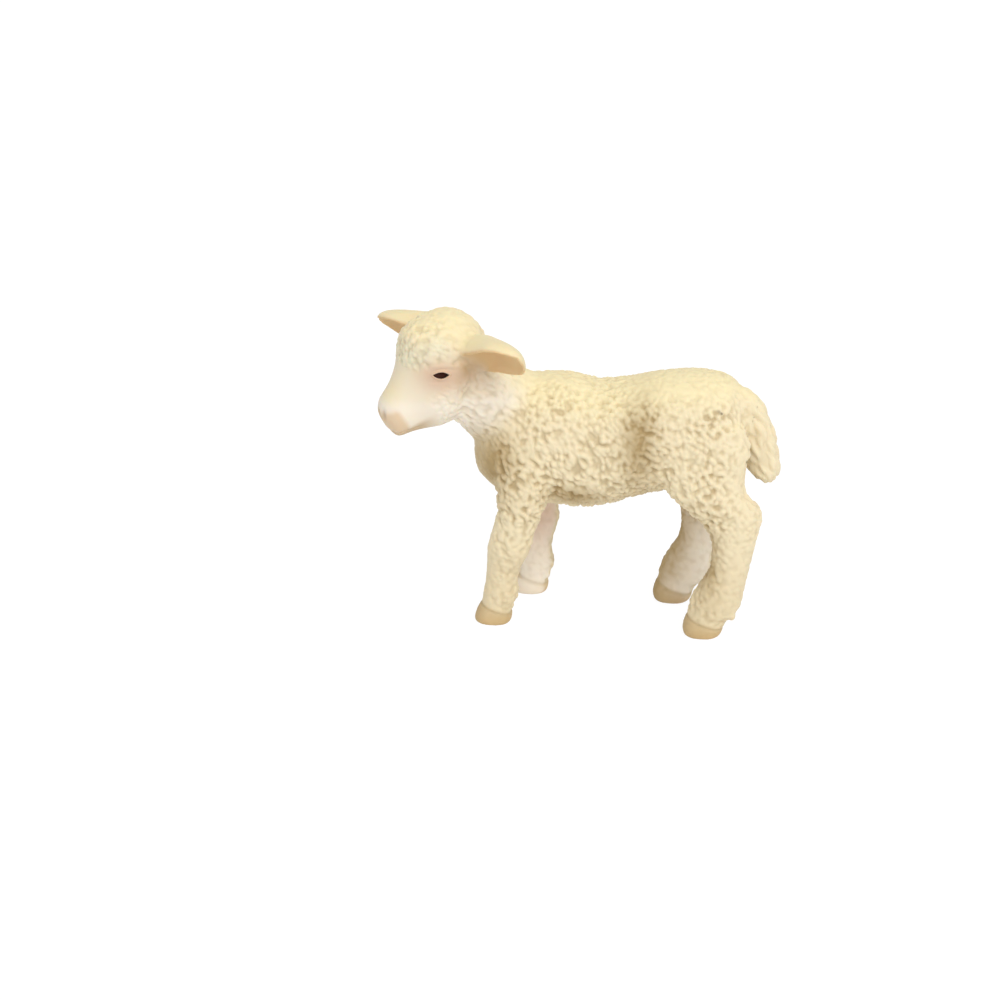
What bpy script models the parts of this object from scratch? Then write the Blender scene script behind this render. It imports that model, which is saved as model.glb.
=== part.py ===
"""Toy farm animal figure: a standing lamb in solid moulded vinyl.

The figure is nine mouldings glued together at keyed pegs: a torso with the neck's stump, a head,
two ears, a tail and four legs. Units are metres and +Z is up. The lamb faces -X and turns its head
to its left, which is -Y, and its soles lie at z = 0. A name that ends in share or shares is a
fraction of the size that it follows.
"""

from math import cos, pi, radians, sin, tau

import bmesh
import bpy
import numpy as np

# Fits
seam_gap = 0.0003
peg_clearance = 0.0003
overrun = 0.0010
shortest_edge = 0.000003
simple_face_corners = 4

# Place of the figure over its origin
figure_x = 0.00096
figure_y = 0.0024

# Torso
torso_length = 0.0318
torso_front_x = -0.0127
torso_centre_height = 0.0219
torso_half_height = 0.0077
torso_half_width = 0.0068

# Rows from breast to rump: along the length, rise of the centre, half height, half width
torso_shares = (
    (0.000, -0.17, 0.12, 0.12),
    (0.022, -0.16, 0.44, 0.50),
    (0.085, -0.09, 0.74, 0.78),
    (0.180, -0.02, 0.96, 0.90),
    (0.340, -0.02, 1.03, 0.97),
    (0.440, -0.06, 0.98, 1.01),
    (0.540, 0.02, 0.94, 1.01),
    (0.660, 0.17, 0.92, 0.95),
    (0.770, 0.26, 0.90, 0.91),
    (0.860, 0.28, 0.88, 0.86),
    (0.940, 0.29, 0.76, 0.72),
    (0.985, 0.26, 0.47, 0.44),
    (1.000, 0.24, 0.12, 0.12),
)
torso_squareness = 2.08

# Neck
neck_length = 0.0118
neck_pitch = radians(41.0)
neck_yaw = radians(19.0)
neck_half_depth = 0.0048
neck_half_width = 0.0042
neck_base_along_share = 0.210
neck_base_rise_share = 0.12

# Rows from base to head: along the length, half depth, half width
neck_shares = (
    (-0.12, 1.14, 1.20),
    (0.20, 1.15, 1.16),
    (0.50, 1.03, 1.04),
    (0.80, 0.96, 1.00),
    (1.05, 0.90, 0.98),
)
neck_seam_share = 0.52

# Head
head_length = 0.0142
head_half_height = 0.0053
head_half_width = 0.0051
head_pitch = radians(31.0)
head_yaw = radians(37.0)
head_ahead_share = 0.067
head_lift_share = 0.56

# Rows from the back of the head to the nose: along the length from the skull's centre,
# rise of the centre, half height, half width
head_shares = (
    (-0.425, 0.00, 0.10, 0.10),
    (-0.392, 0.00, 0.44, 0.44),
    (-0.285, 0.00, 0.77, 0.79),
    (-0.120, -0.02, 0.94, 0.96),
    (0.028, -0.03, 1.00, 1.00),
    (0.141, -0.20, 1.10, 0.95),
    (0.282, -0.43, 0.88, 0.79),
    (0.423, -0.45, 0.66, 0.58),
    (0.528, -0.43, 0.53, 0.51),
    (0.600, -0.46, 0.44, 0.44),
    (0.640, -0.53, 0.35, 0.31),
    (0.655, -0.55, 0.14, 0.12),
)
head_squareness = 2.1

# Eyes
eye_length = 0.0018
eye_height = 0.00076
eye_bulge = 0.0005
eye_along_share = 0.128
eye_angle = radians(18.0)
eye_slant = radians(46.0)
lid_thickness = 0.0003

# Nose and mouth
nostril_length = 0.0010
nostril_height = 0.00036
nostril_along_share = 0.630
nostril_angle = radians(58.0)
mouth_groove_radius = 0.00016
mouth_angle = radians(-42.0)
mouth_end_share = 0.42
mouth_front_share = 0.600

# Ears
ear_length = 0.0096
ear_half_width = 0.00244
ear_depth = 0.0025
ear_wall = 0.0009
ear_wall_share = 0.7
ear_rim = 0.00040
ear_rim_share = 0.33
ear_root_along_share = -0.123
ear_root_sink = 0.0018

# Rows from root to tip: along the length, half width, depth, rise of the spine, and how much of
# the full hollow the cup has there
ear_shares = (
    (0.00, 0.80, 0.86, 0.000, 0.00),
    (0.10, 0.87, 1.08, -0.012, 0.00),
    (0.18, 0.93, 1.28, -0.026, 0.00),
    (0.28, 0.97, 1.41, -0.041, 0.30),
    (0.38, 1.04, 1.35, -0.053, 0.75),
    (0.50, 1.17, 1.20, -0.065, 1.00),
    (0.66, 1.32, 1.00, -0.078, 1.00),
    (0.80, 1.13, 0.78, -0.058, 1.00),
    (0.91, 0.74, 0.56, -0.028, 1.00),
    (0.975, 0.38, 0.34, -0.012, 1.00),
    (1.00, 0.16, 0.16, -0.010, 1.00),
)

# How high each ear's root is on the head's side, its sweep towards the back of the head, its
# droop, and the roll of its open side down
left_ear_turns = (radians(-1.5), radians(23.0), radians(-7.0), radians(22.0))
right_ear_turns = (radians(-14.0), radians(-27.0), radians(-30.0), radians(8.0))

# Tail
tail_half_width = 0.0019
tail_half_depth = 0.0020

# Rows from root to tip: along the torso past the rump, height against the torso's centre height,
# half depth, half width
tail_shares = (
    (0.920, 1.300, 0.60, 0.66),
    (0.970, 1.262, 0.84, 0.84),
    (1.002, 1.185, 1.00, 0.96),
    (1.024, 1.085, 1.08, 1.00),
    (1.042, 0.980, 1.12, 1.08),
    (1.062, 0.895, 0.94, 0.98),
    (1.071, 0.835, 0.64, 0.66),
    (1.071, 0.805, 0.22, 0.24),
)
tail_peg_height_share = 1.150

# Legs
shoulder_height = 0.0220
hip_height = 0.0260
front_leg_along_share = 0.1981
hind_leg_along_share = 0.8585
leg_spread = 0.0044
knee_depth = 0.0052
knee_width = 0.0043
shank_depth = 0.0050
shank_width = 0.0042
right_front_step = 0.0031
right_hind_step = -0.0044

# Rows from shoulder to sole: height, set-back of the centre in knee depths, depth, width,
# spread to the side in knee widths, squareness
front_leg_shares = (
    (1.000, 0.02, 1.50, 1.00, -0.10, 2.0),
    (0.850, 0.02, 1.42, 1.14, 0.00, 2.0),
    (0.740, 0.00, 1.20, 1.12, 0.02, 2.0),
    (0.660, -0.05, 1.07, 1.06, 0.04, 2.0),
    (0.570, -0.15, 0.98, 1.02, 0.04, 2.0),
    (0.500, -0.24, 0.97, 0.98, 0.03, 2.1),
    (0.430, -0.30, 0.99, 0.98, 0.02, 2.2),
    (0.360, -0.38, 0.85, 0.88, 0.02, 2.1),
    (0.290, -0.45, 0.74, 0.78, 0.02, 2.0),
    (0.230, -0.48, 0.72, 0.76, 0.02, 2.0),
    (0.185, -0.48, 0.80, 0.84, 0.02, 2.0),
    (0.140, -0.51, 0.79, 0.86, 0.02, 2.0),
    (0.105, -0.57, 0.72, 0.82, 0.02, 2.0),
    (0.086, -0.60, 0.71, 0.82, 0.02, 2.0),
    (0.080, -0.61, 0.76, 0.88, 0.02, 2.3),
    (0.045, -0.65, 0.81, 0.93, 0.02, 2.4),
    (0.012, -0.67, 0.81, 0.93, 0.02, 2.4),
    (0.000, -0.67, 0.76, 0.87, 0.02, 2.4),
)

# Rows from hip to sole, with the set-back, depth, width and spread in shank depths and widths
hind_leg_shares = (
    (1.000, 0.00, 1.70, 1.00, -0.22, 2.0),
    (0.885, 0.02, 1.98, 1.26, -0.14, 2.0),
    (0.770, -0.06, 1.94, 1.36, -0.08, 2.0),
    (0.680, 0.04, 1.84, 1.32, -0.03, 2.0),
    (0.622, 0.38, 1.82, 1.22, 0.00, 2.1),
    (0.572, 0.56, 1.58, 1.10, 0.02, 2.2),
    (0.517, 0.67, 1.22, 1.00, 0.02, 2.2),
    (0.454, 0.70, 1.02, 0.92, 0.02, 2.1),
    (0.342, 0.65, 0.92, 0.86, 0.02, 2.0),
    (0.288, 0.56, 0.97, 0.90, 0.02, 2.0),
    (0.204, 0.40, 1.14, 1.02, 0.02, 2.0),
    (0.160, 0.33, 1.20, 1.08, 0.02, 2.0),
    (0.115, 0.27, 1.14, 1.08, 0.02, 2.0),
    (0.082, 0.16, 0.98, 1.02, 0.02, 2.1),
    (0.074, 0.12, 0.98, 1.04, 0.02, 2.3),
    (0.040, 0.06, 0.94, 1.06, 0.02, 2.4),
    (0.010, 0.04, 0.86, 1.00, 0.02, 2.4),
    (0.000, 0.03, 0.78, 0.92, 0.02, 2.4),
)
front_seam_share = 0.615
hind_seam_share = 0.585
seam_margin = 0.0012
stump_overlap = 0.0024
stump_growth = 0.00018

# Share of the leg's height over which a step forward or back grows to its full length
front_step_span_share = 0.92
hind_step_span_share = 0.42

# Hooves and dewclaws
hoof_height = 0.0017
cleft_width = 0.00085
cleft_end_width = 0.00025
cleft_reach_share = 0.66
cleft_rise_share = 0.85
dewclaw_half_depth = 0.00045
dewclaw_half_width = 0.00050
dewclaw_half_height = 0.00075
dewclaw_sink = 0.00015
dewclaw_spread_share = 0.50
dewclaw_height_share = 0.115

# Pegs
peg_squareness = 3.2
leg_peg_half_width = 0.0010
leg_peg_length = 0.0022
neck_peg_half_width = 0.0018
neck_peg_length = 0.0028
ear_peg_half_width = 0.00065
ear_peg_length = 0.0020
tail_peg_half_width = 0.0008
tail_peg_length = 0.0020
peg_root = 0.0009

# Fineness of the surfaces
body_voxel = 0.00048
head_voxel = 0.00034
body_smoothing = 8
head_smoothing = 14
torso_share_kept = 0.165
head_share_kept = 0.15
ring_points = 24
limb_points = 18
peg_points = 16
row_steps = 2

# Colours of the vinyl, as red, green, blue and alpha
cream = (0.86, 0.76, 0.55, 1.0)
pale_cream = (0.88, 0.80, 0.64, 1.0)
warm_cream = (0.84, 0.72, 0.50, 1.0)

x_axis = np.array((1.0, 0.0, 0.0))
y_axis = np.array((0.0, 1.0, 0.0))
z_axis = np.array((0.0, 0.0, 1.0))
cube_corner_signs = (-1.0, 1.0)


def unit(vector):
    return vector / np.linalg.norm(vector)


def faired(table, steps=row_steps):
    """The table's rows with more between each two, on a Catmull-Rom curve through them."""
    rows = np.asarray(table, dtype=float)
    padded = np.vstack([2 * rows[0] - rows[1], rows, 2 * rows[-1] - rows[-2]])
    station = np.arange(steps * (len(rows) - 1) + 1) / steps
    first = np.minimum(station.astype(int), len(rows) - 2)
    t = (station - first)[:, None]
    a, b, c, d = (padded[first + k] for k in range(4))
    return b + 0.5 * t * (c - a + t * (2 * a - 5 * b + 4 * c - d + t * (3 * (b - c) + d - a)))


def ring(centre, side, up, squareness=2.0, points=ring_points):
    """A superellipse about a centre, whose half axes are the vectors side and up."""
    angle = tau * np.arange(points) / points
    power = 2 / squareness
    across = np.sign(np.cos(angle)) * np.abs(np.cos(angle)) ** power
    rise = np.sign(np.sin(angle)) * np.abs(np.sin(angle)) ** power
    return centre + np.outer(across, side) + np.outer(rise, up)


def mesh_object(name, bm):
    bmesh.ops.recalc_face_normals(bm, faces=bm.faces)
    mesh = bpy.data.meshes.new(name)
    bm.to_mesh(mesh)
    bm.free()
    obj = bpy.data.objects.new(name, mesh)
    bpy.context.scene.collection.objects.link(obj)
    return obj


def loft(name, rings):
    """A closed solid through a run of rings with as many points each, with flat ends."""
    bm = bmesh.new()
    rows = [[bm.verts.new(point) for point in row] for row in rings]
    for low, high in zip(rows, rows[1:]):
        for k in range(len(low)):
            bm.faces.new((low[k - 1], low[k], high[k], high[k - 1]))
    bm.faces.new(rows[0])
    bm.faces.new(rows[-1])
    return mesh_object(name, bm)


def block(name, centre, half_sizes, axes=(x_axis, y_axis, z_axis)):
    """A box about a centre, whose half sizes lie along three axes."""
    bm = bmesh.new()
    for sx in cube_corner_signs:
        for sy in cube_corner_signs:
            for sz in cube_corner_signs:
                signs = (sx, sy, sz)
                bm.verts.new(centre + sum(s * h * a for s, h, a in zip(signs, half_sizes, axes)))
    bmesh.ops.convex_hull(bm, input=bm.verts)
    return mesh_object(name, bm)


def settle(obj):
    """Turns what an object's modifiers show into its own mesh."""
    graph = bpy.context.evaluated_depsgraph_get()
    graph.update()
    mesh = bpy.data.meshes.new_from_object(obj.evaluated_get(graph))
    obj.modifiers.clear()
    old = obj.data
    obj.data = mesh
    bpy.data.meshes.remove(old)
    return obj


def discard(obj):
    mesh = obj.data
    bpy.data.objects.remove(obj)
    bpy.data.meshes.remove(mesh)


def combine(obj, others, operation):
    """A Boolean of an object with others, which are used up. Edges too short to matter go, and
    faces of many sides are split, because the next Boolean can fail on them."""
    for other in others:
        modifier = obj.modifiers.new("Boolean", "BOOLEAN")
        modifier.operation = operation
        modifier.solver = "EXACT"
        modifier.object = other
        settle(obj)
        discard(other)
        bm = bmesh.new()
        bm.from_mesh(obj.data)
        bmesh.ops.dissolve_degenerate(bm, dist=shortest_edge, edges=bm.edges)
        many_sided = [face for face in bm.faces if len(face.verts) > simple_face_corners]
        bmesh.ops.triangulate(bm, faces=many_sided)
        bm.to_mesh(obj.data)
        bm.free()
    return obj


def carve(obj, *cutters):
    return combine(obj, cutters, "DIFFERENCE")


def fuse(obj, *others):
    return combine(obj, others, "UNION")


def grown(obj, distance):
    """A copy of an object whose surface lies that far outside it."""
    copy = bpy.data.objects.new(obj.name + "_grown", obj.data.copy())
    bpy.context.scene.collection.objects.link(copy)
    modifier = copy.modifiers.new("Displace", "DISPLACE")
    modifier.mid_level = 0.0
    modifier.strength = distance
    return settle(copy)


def blended(name, shapes, voxel, passes):
    """One skin over shapes that overlap, with its creases smoothed. The shapes are used up."""
    bm = bmesh.new()
    for shape in shapes:
        bm.from_mesh(shape.data)
        discard(shape)
    obj = mesh_object(name, bm)
    remesh = obj.modifiers.new("Remesh", "REMESH")
    remesh.mode = "VOXEL"
    remesh.voxel_size = voxel
    smooth = obj.modifiers.new("Smooth", "SMOOTH")
    smooth.factor = 0.5
    smooth.iterations = passes
    return settle(obj)


def thinned(obj, share_kept):
    """Fewer facets, left where the surface curves most."""
    decimate = obj.modifiers.new("Decimate", "DECIMATE")
    decimate.ratio = share_kept
    return settle(obj)


def ellipsoid(name, centre, half_axes, segments=ring_points, rings=12):
    """A ball whose three half axes are the rows of half_axes."""
    bm = bmesh.new()
    bmesh.ops.create_uvsphere(bm, u_segments=segments, v_segments=rings, radius=1)
    for vert in bm.verts:
        vert.co = centre + np.array(vert.co) @ np.asarray(half_axes)
    return mesh_object(name, bm)


def peg(name, base, direction, side, half_width, length, clearance=0.0):
    """A square-cornered peg that can't turn. With a clearance it is the cutter for its socket."""
    up = np.cross(direction, side)
    reach = half_width + clearance
    stations = (-peg_root, length + clearance)
    rows = [
        ring(base + at * direction, reach * side, reach * up, peg_squareness, peg_points)
        for at in stations
    ]
    return loft(name, rows)


def aimed(yaw, pitch):
    """A unit vector that looks along -X, turned to -Y by the yaw and raised by the pitch."""
    return np.array((-cos(yaw) * cos(pitch), -sin(yaw) * cos(pitch), sin(pitch)))


# The neck's line, which the head's place follows
neck_direction = aimed(neck_yaw, neck_pitch)
neck_side = unit(np.cross(neck_direction, z_axis))
neck_up = np.cross(neck_side, neck_direction)
neck_base = np.array((
    torso_front_x + neck_base_along_share * torso_length,
    0.0,
    torso_centre_height + neck_base_rise_share * torso_half_height,
))
neck_seam = neck_base + neck_seam_share * neck_length * neck_direction

# The head's own axes: forward to the nose, left and up
head_forward = aimed(head_yaw, -head_pitch)
head_left = unit(np.cross(z_axis, head_forward))
head_up = np.cross(head_forward, head_left)
head_centre = (
    neck_base
    + neck_length * neck_direction
    + head_ahead_share * head_length * head_forward
    + head_lift_share * head_half_height * head_up
)


def head_row(along_share):
    """The head's rise, half height and half width at a share of its length from the centre."""
    rows = np.array(head_shares)
    columns = [np.interp(along_share, rows[:, 0], rows[:, k]) for k in (1, 2, 3)]
    return columns[0] * head_half_height, columns[1] * head_half_height, columns[2] * head_half_width


def head_point(along_share, angle, side):
    """A point on the head's skin, at an angle above its side, and the way out of it there."""
    rise, half_height, half_width = head_row(along_share)
    out = side * cos(angle) / half_width * head_left + sin(angle) / half_height * head_up
    point = (
        head_centre
        + along_share * head_length * head_forward
        + side * cos(angle) * half_width * head_left
        + (rise + sin(angle) * half_height) * head_up
    )
    return point, unit(out)


def torso_loft():
    rows = []
    for along, rise, half_height, half_width in faired(torso_shares):
        centre = np.array((
            torso_front_x + along * torso_length,
            0.0,
            torso_centre_height + rise * torso_half_height,
        ))
        side = half_width * torso_half_width * y_axis
        up = half_height * torso_half_height * z_axis
        rows.append(ring(centre, side, up, torso_squareness))
    return loft("torso_core", rows)


def neck_loft(name):
    rows = []
    for along, half_depth, half_width in faired(neck_shares):
        centre = neck_base + along * neck_length * neck_direction
        side = half_width * neck_half_width * neck_side
        up = half_depth * neck_half_depth * neck_up
        rows.append(ring(centre, side, up))
    return loft(name, rows)


def head_loft():
    rows = []
    for along, rise, half_height, half_width in faired(head_shares):
        centre = head_centre + along * head_length * head_forward + rise * head_half_height * head_up
        side = half_width * head_half_width * head_left
        up = half_height * head_half_height * head_up
        rows.append(ring(centre, side, up, head_squareness))
    return loft("head_core", rows)


def leg_rows(front, side):
    """The leg's stations from top to sole: centre, half depth, half width and squareness."""
    table = front_leg_shares if front else hind_leg_shares
    top = shoulder_height if front else hip_height
    x = torso_front_x + torso_length * (front_leg_along_share if front else hind_leg_along_share)
    depth = knee_depth if front else shank_depth
    width = knee_width if front else shank_width
    step = (right_front_step if front else right_hind_step) if side > 0 else 0.0
    span = front_step_span_share if front else hind_step_span_share
    rows = []
    for height, back, deep, wide, spread, squareness in table:
        lean = min(1.0, (1.0 - height) / span)
        swing = step * lean * lean * (3 - 2 * lean)
        centre = np.array((
            x + back * depth + swing,
            side * (leg_spread + spread * width),
            height * top,
        ))
        rows.append((centre, deep * depth / 2, wide * width / 2, squareness))
    return rows


def leg_loft(name, front, side, highest, lowest, growth=0.0):
    """The part of a leg between two heights, cut flat at both, and thicker by the growth."""
    rows = leg_rows(front, side)
    heights = np.array([row[0][2] for row in rows])[::-1]
    values = np.array([(*row[0][:2], *row[1:]) for row in rows])[::-1]
    inner = heights[(heights > lowest) & (heights < highest)]
    rings = []
    for height in np.concatenate([[lowest], inner, [highest]]):
        x, y, deep, wide, squareness = (np.interp(height, heights, column) for column in values.T)
        centre = np.array((x, y, height))
        half_depth = (deep + growth) * x_axis
        half_width = (wide + growth) * y_axis
        rings.append(ring(centre, half_depth, half_width, squareness, limb_points))
    return loft(name, rings)


def leg_station(front, side, height):
    """The leg's centre, half depth and half width at one height."""
    rows = leg_rows(front, side)
    heights = np.array([row[0][2] for row in rows])[::-1]
    values = np.array([(*row[0][:2], *row[1:3]) for row in rows])[::-1]
    x, y, deep, wide = (np.interp(height, heights, column) for column in values.T)
    return np.array((x, y, height)), deep, wide


def seam_height(front):
    return front_seam_share * shoulder_height if front else hind_seam_share * hip_height


def leg_peg(name, front, side, clearance=0.0):
    centre = leg_station(front, side, seam_height(front) - seam_gap / 2)[0]
    return peg(name, centre, z_axis, x_axis, leg_peg_half_width, leg_peg_length, clearance)


def neck_peg(name, clearance=0.0):
    base = neck_seam + seam_gap / 2 * neck_direction
    return peg(name, base, -neck_direction, neck_side, neck_peg_half_width, neck_peg_length, clearance)


def ear_frame(side):
    """The ear's root on the head, its line, its width and the way its open side faces."""
    height, sweep, droop, roll = left_ear_turns if side > 0 else right_ear_turns
    root = head_point(ear_root_along_share, height, side)[0]
    line = cos(droop) * (cos(sweep) * side * head_left - sin(sweep) * head_forward)
    line = line - sin(droop) * head_up
    opening = unit(head_forward - np.dot(head_forward, line) * line)
    width = np.cross(line, opening)
    width = width * np.sign(np.dot(width, head_up))
    turned_opening = cos(roll) * opening - sin(roll) * width
    turned_width = cos(roll) * width + sin(roll) * opening
    return root - ear_root_sink * line, line, turned_width, turned_opening


def ear_loft(name, side):
    """A cupped leaf: each section is a half ellipse outside, and a shallower one inside."""
    root, line, width, opening = ear_frame(side)
    angle = pi * np.arange(ring_points // 2 + 1) / (ring_points // 2)
    rows = []
    for along, half, depth, rise, hollow in ear_shares:
        across = half * ear_half_width
        deep = depth * ear_depth
        rim = min(ear_rim, across * ear_rim_share)
        wall = deep - hollow * (deep - min(ear_wall, deep * ear_wall_share))
        centre = root + along * ear_length * line + rise * ear_length * width
        outer = np.outer(across * np.cos(angle), width) - np.outer(deep * np.sin(angle), opening)
        inner = np.outer((across - rim) * np.cos(angle[::-1]), width)
        inner = inner - np.outer((deep - wall) * np.sin(angle[::-1]), opening)
        rows.append(centre + np.concatenate([outer, inner + rim * ear_rim_share * opening]))
    return loft(name, rows)


def ear_peg(name, side, clearance=0.0):
    root, line, width, opening = ear_frame(side)
    depth = ear_shares[0][2] * ear_depth
    base = root + ear_root_sink * line - depth * opening / 2
    return peg(name, base, -line, width, ear_peg_half_width, ear_peg_length, clearance)


def tail_loft():
    rows = []
    stations = np.array(tail_shares)
    centres = np.column_stack([
        torso_front_x + stations[:, 0] * torso_length,
        np.zeros(len(stations)),
        stations[:, 1] * torso_centre_height,
    ])
    lines = np.gradient(centres, axis=0)
    for centre, line, station in zip(centres, lines, stations):
        up = unit(np.cross(y_axis, line))
        deep = station[2] * tail_half_depth * up
        wide = station[3] * tail_half_width * y_axis
        rows.append(ring(centre, wide, deep, points=limb_points))
    return loft("tail", rows)


def tail_peg(name, clearance=0.0):
    height = tail_peg_height_share * torso_centre_height
    base = np.array((torso_front_x + torso_length, 0.0, height))
    return peg(name, base, -x_axis, y_axis, tail_peg_half_width, tail_peg_length, clearance)


def neck_half_space(name, towards_head):
    """A block over the head's side of the neck's seam, or over the torso's side."""
    way = neck_direction if towards_head else -neck_direction
    size = head_length + neck_length
    start = neck_seam + way * (seam_gap / 2)
    if towards_head:
        start = neck_seam - way * (seam_gap / 2)
    half = np.array((size, size, size))
    return block(name, start + way * size, half, (neck_side, neck_up, way))


def build_torso():
    """The torso with its neck stump and four leg stumps, each cut flat and socketed."""
    shapes = [torso_loft(), neck_loft("neck_core")]
    for front in (True, False):
        top = shoulder_height if front else hip_height
        low = seam_height(front) - stump_overlap
        for side in (-1, 1):
            shapes.append(leg_loft("stump", front, side, top, low, stump_growth))
    torso = thinned(blended("torso", shapes, body_voxel, body_smoothing), torso_share_kept)
    carve(torso, neck_half_space("neck_cut", True))
    for front in (True, False):
        seam = seam_height(front) + seam_gap / 2
        for side in (-1, 1):
            centre, deep, wide = leg_station(front, side, seam)
            half = np.array((deep + seam_margin, wide + seam_margin, stump_overlap))
            below = centre - stump_overlap * z_axis
            carve(torso, block("leg_cut", below, half))
            carve(torso, leg_peg("socket", front, side, peg_clearance))
    carve(torso, neck_peg("socket", peg_clearance))
    return torso


def eye_parts(side):
    """Cutter for the eye's bed, and the eyeball that fills it, as lenses on the head's side."""
    point, out = head_point(eye_along_share, eye_angle, side)
    along = unit(head_forward - np.dot(head_forward, out) * out)
    across = np.cross(out, along)
    across = across * np.sign(np.dot(across, head_up))
    long_axis = cos(eye_slant) * along + sin(eye_slant) * across
    short_axis = cos(eye_slant) * across - sin(eye_slant) * along
    ball_axes = (eye_length / 2 * long_axis, eye_height / 2 * short_axis, eye_bulge * out)
    bed_axes = (
        (eye_length / 2 + lid_thickness) * long_axis,
        (eye_height / 2 + lid_thickness) * short_axis,
        eye_bulge * out,
    )
    bed = ellipsoid("eye_bed", point + lid_thickness / 2 * out, bed_axes, peg_points, peg_points // 2)
    ball = ellipsoid("eye", point - eye_bulge / 2 * out, ball_axes, peg_points, peg_points // 2)
    return bed, ball


def nostril(side):
    point, out = head_point(nostril_along_share, nostril_angle, side)
    along = unit(head_forward - np.dot(head_forward, out) * out)
    across = np.cross(out, along)
    long_axis = unit(along + across * side)
    short_axis = np.cross(out, long_axis)
    axes = (nostril_length / 2 * long_axis, nostril_height / 2 * short_axis, nostril_height * out)
    return ellipsoid("nostril", point, axes, peg_points // 2, peg_points // 2)


def mouth_groove():
    """A thin round cutter along the lip line, from one cheek round the nose to the other."""
    shares = np.linspace(mouth_end_share, mouth_front_share, peg_points // 2)
    left = [head_point(share, mouth_angle, 1)[0] for share in shares]
    right = [head_point(share, mouth_angle, -1)[0] for share in shares]
    path = np.array(left + right[::-1])
    lines = np.gradient(path, axis=0)
    rows = []
    for point, line in zip(path, lines):
        side = unit(np.cross(line, head_up))
        up = unit(np.cross(side, line))
        rows.append(ring(point, mouth_groove_radius * side, mouth_groove_radius * up, points=6))
    return loft("mouth_cut", rows)


def build_head():
    """The head with its share of the neck, eyes, nostrils, mouth and the peg into the torso."""
    skin = blended("head", [head_loft(), neck_loft("neck_core")], head_voxel, head_smoothing)
    head = thinned(skin, head_share_kept)
    carve(head, neck_half_space("neck_cut", False))
    fuse(head, neck_peg("neck_peg"))
    for side in (-1, 1):
        bed, ball = eye_parts(side)
        carve(head, bed)
        fuse(head, ball)
        carve(head, nostril(side))
    carve(head, mouth_groove())
    return head


def build_ear(name, side, head_skin):
    ear = ear_loft(name, side)
    carve(ear, grown(head_skin, seam_gap))
    return fuse(ear, ear_peg("ear_peg", side))


def build_tail(torso_skin):
    tail = tail_loft()
    carve(tail, grown(torso_skin, seam_gap))
    return fuse(tail, tail_peg("tail_peg"))


def cleft(front, side):
    """Cutter for the gap between the two toes: a wedge that closes towards the heel."""
    centre, deep = leg_station(front, side, 0.0)[:2]
    nose = centre[0] - deep - overrun
    heel = centre[0] - deep + 2 * deep * cleft_reach_share
    bm = bmesh.new()
    for x, width, rise in (
        (nose, cleft_width, hoof_height),
        (heel, cleft_end_width, hoof_height * cleft_rise_share),
    ):
        for way in (-1, 1):
            bm.verts.new((x, centre[1] + way * width / 2, -overrun))
            bm.verts.new((x, centre[1] + way * cleft_end_width / 2, rise))
    bmesh.ops.convex_hull(bm, input=bm.verts)
    return mesh_object("cleft", bm)


def build_leg(name, front, side):
    """A leg from its seam to its sole, with its peg, cloven hoof and two dewclaws."""
    seam = seam_height(front) - seam_gap / 2
    leg = leg_loft(name, front, side, seam, 0.0)
    fuse(leg, leg_peg("leg_peg", front, side))
    carve(leg, cleft(front, side))
    top = shoulder_height if front else hip_height
    centre, deep, wide = leg_station(front, side, dewclaw_height_share * top)
    axes = np.diag((dewclaw_half_depth, dewclaw_half_width, dewclaw_half_height))
    for way in (-1, 1):
        across = way * dewclaw_spread_share
        back = deep * (1 - across * across) ** 0.5 - dewclaw_sink
        place = centre + back * x_axis + across * wide * y_axis
        fuse(leg, ellipsoid("dewclaw", place, axes, peg_points // 2, peg_points // 2))
    return leg


def vinyl(name, colour):
    material = bpy.data.materials.new(name)
    material.use_nodes = True
    shader = material.node_tree.nodes["Principled BSDF"]
    shader.inputs["Base Color"].default_value = colour
    shader.inputs["Roughness"].default_value = 0.5
    shader.inputs["Metallic"].default_value = 0.0
    return material


def finish(obj, colour):
    """Gives a piece its material and smooth shading, and moves it over the figure's origin."""
    mesh = obj.data
    mesh.materials.clear()
    mesh.materials.append(vinyl(obj.name + "_vinyl", colour))
    mesh.shade_smooth()
    mesh.set_sharp_from_angle(angle=radians(40.0))
    obj.location = (figure_x, figure_y, 0.0)


def main():
    for obj in list(bpy.data.objects):
        bpy.data.objects.remove(obj)
    head = build_head()
    torso = build_torso()
    ears = [build_ear("ear_left", 1, head), build_ear("ear_right", -1, head)]
    tail = build_tail(torso)
    for side in (1, -1):
        carve(head, ear_peg("socket", side, peg_clearance))
    carve(torso, tail_peg("socket", peg_clearance))
    finish(torso, cream)
    finish(head, pale_cream)
    for ear in ears:
        finish(ear, warm_cream)
    finish(tail, cream)
    for name, front, side in (
        ("front_leg_left", True, -1),
        ("front_leg_right", True, 1),
        ("hind_leg_left", False, -1),
        ("hind_leg_right", False, 1),
    ):
        finish(build_leg(name, front, side), cream)


main()
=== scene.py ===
"""Looks of a toy lamb: moulded vinyl with lumpy wool, painted by hand, on a plain pale floor.

Lengths are metres and +Z is up. The lamb faces -X and looks to its left, which is -Y. Its whole
skin is worked out as one surface, so that the wool runs over every seam, and is then shared out
to the moulded pieces. A name that ends in share, shares or rows is a fraction of another size.
"""

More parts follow.
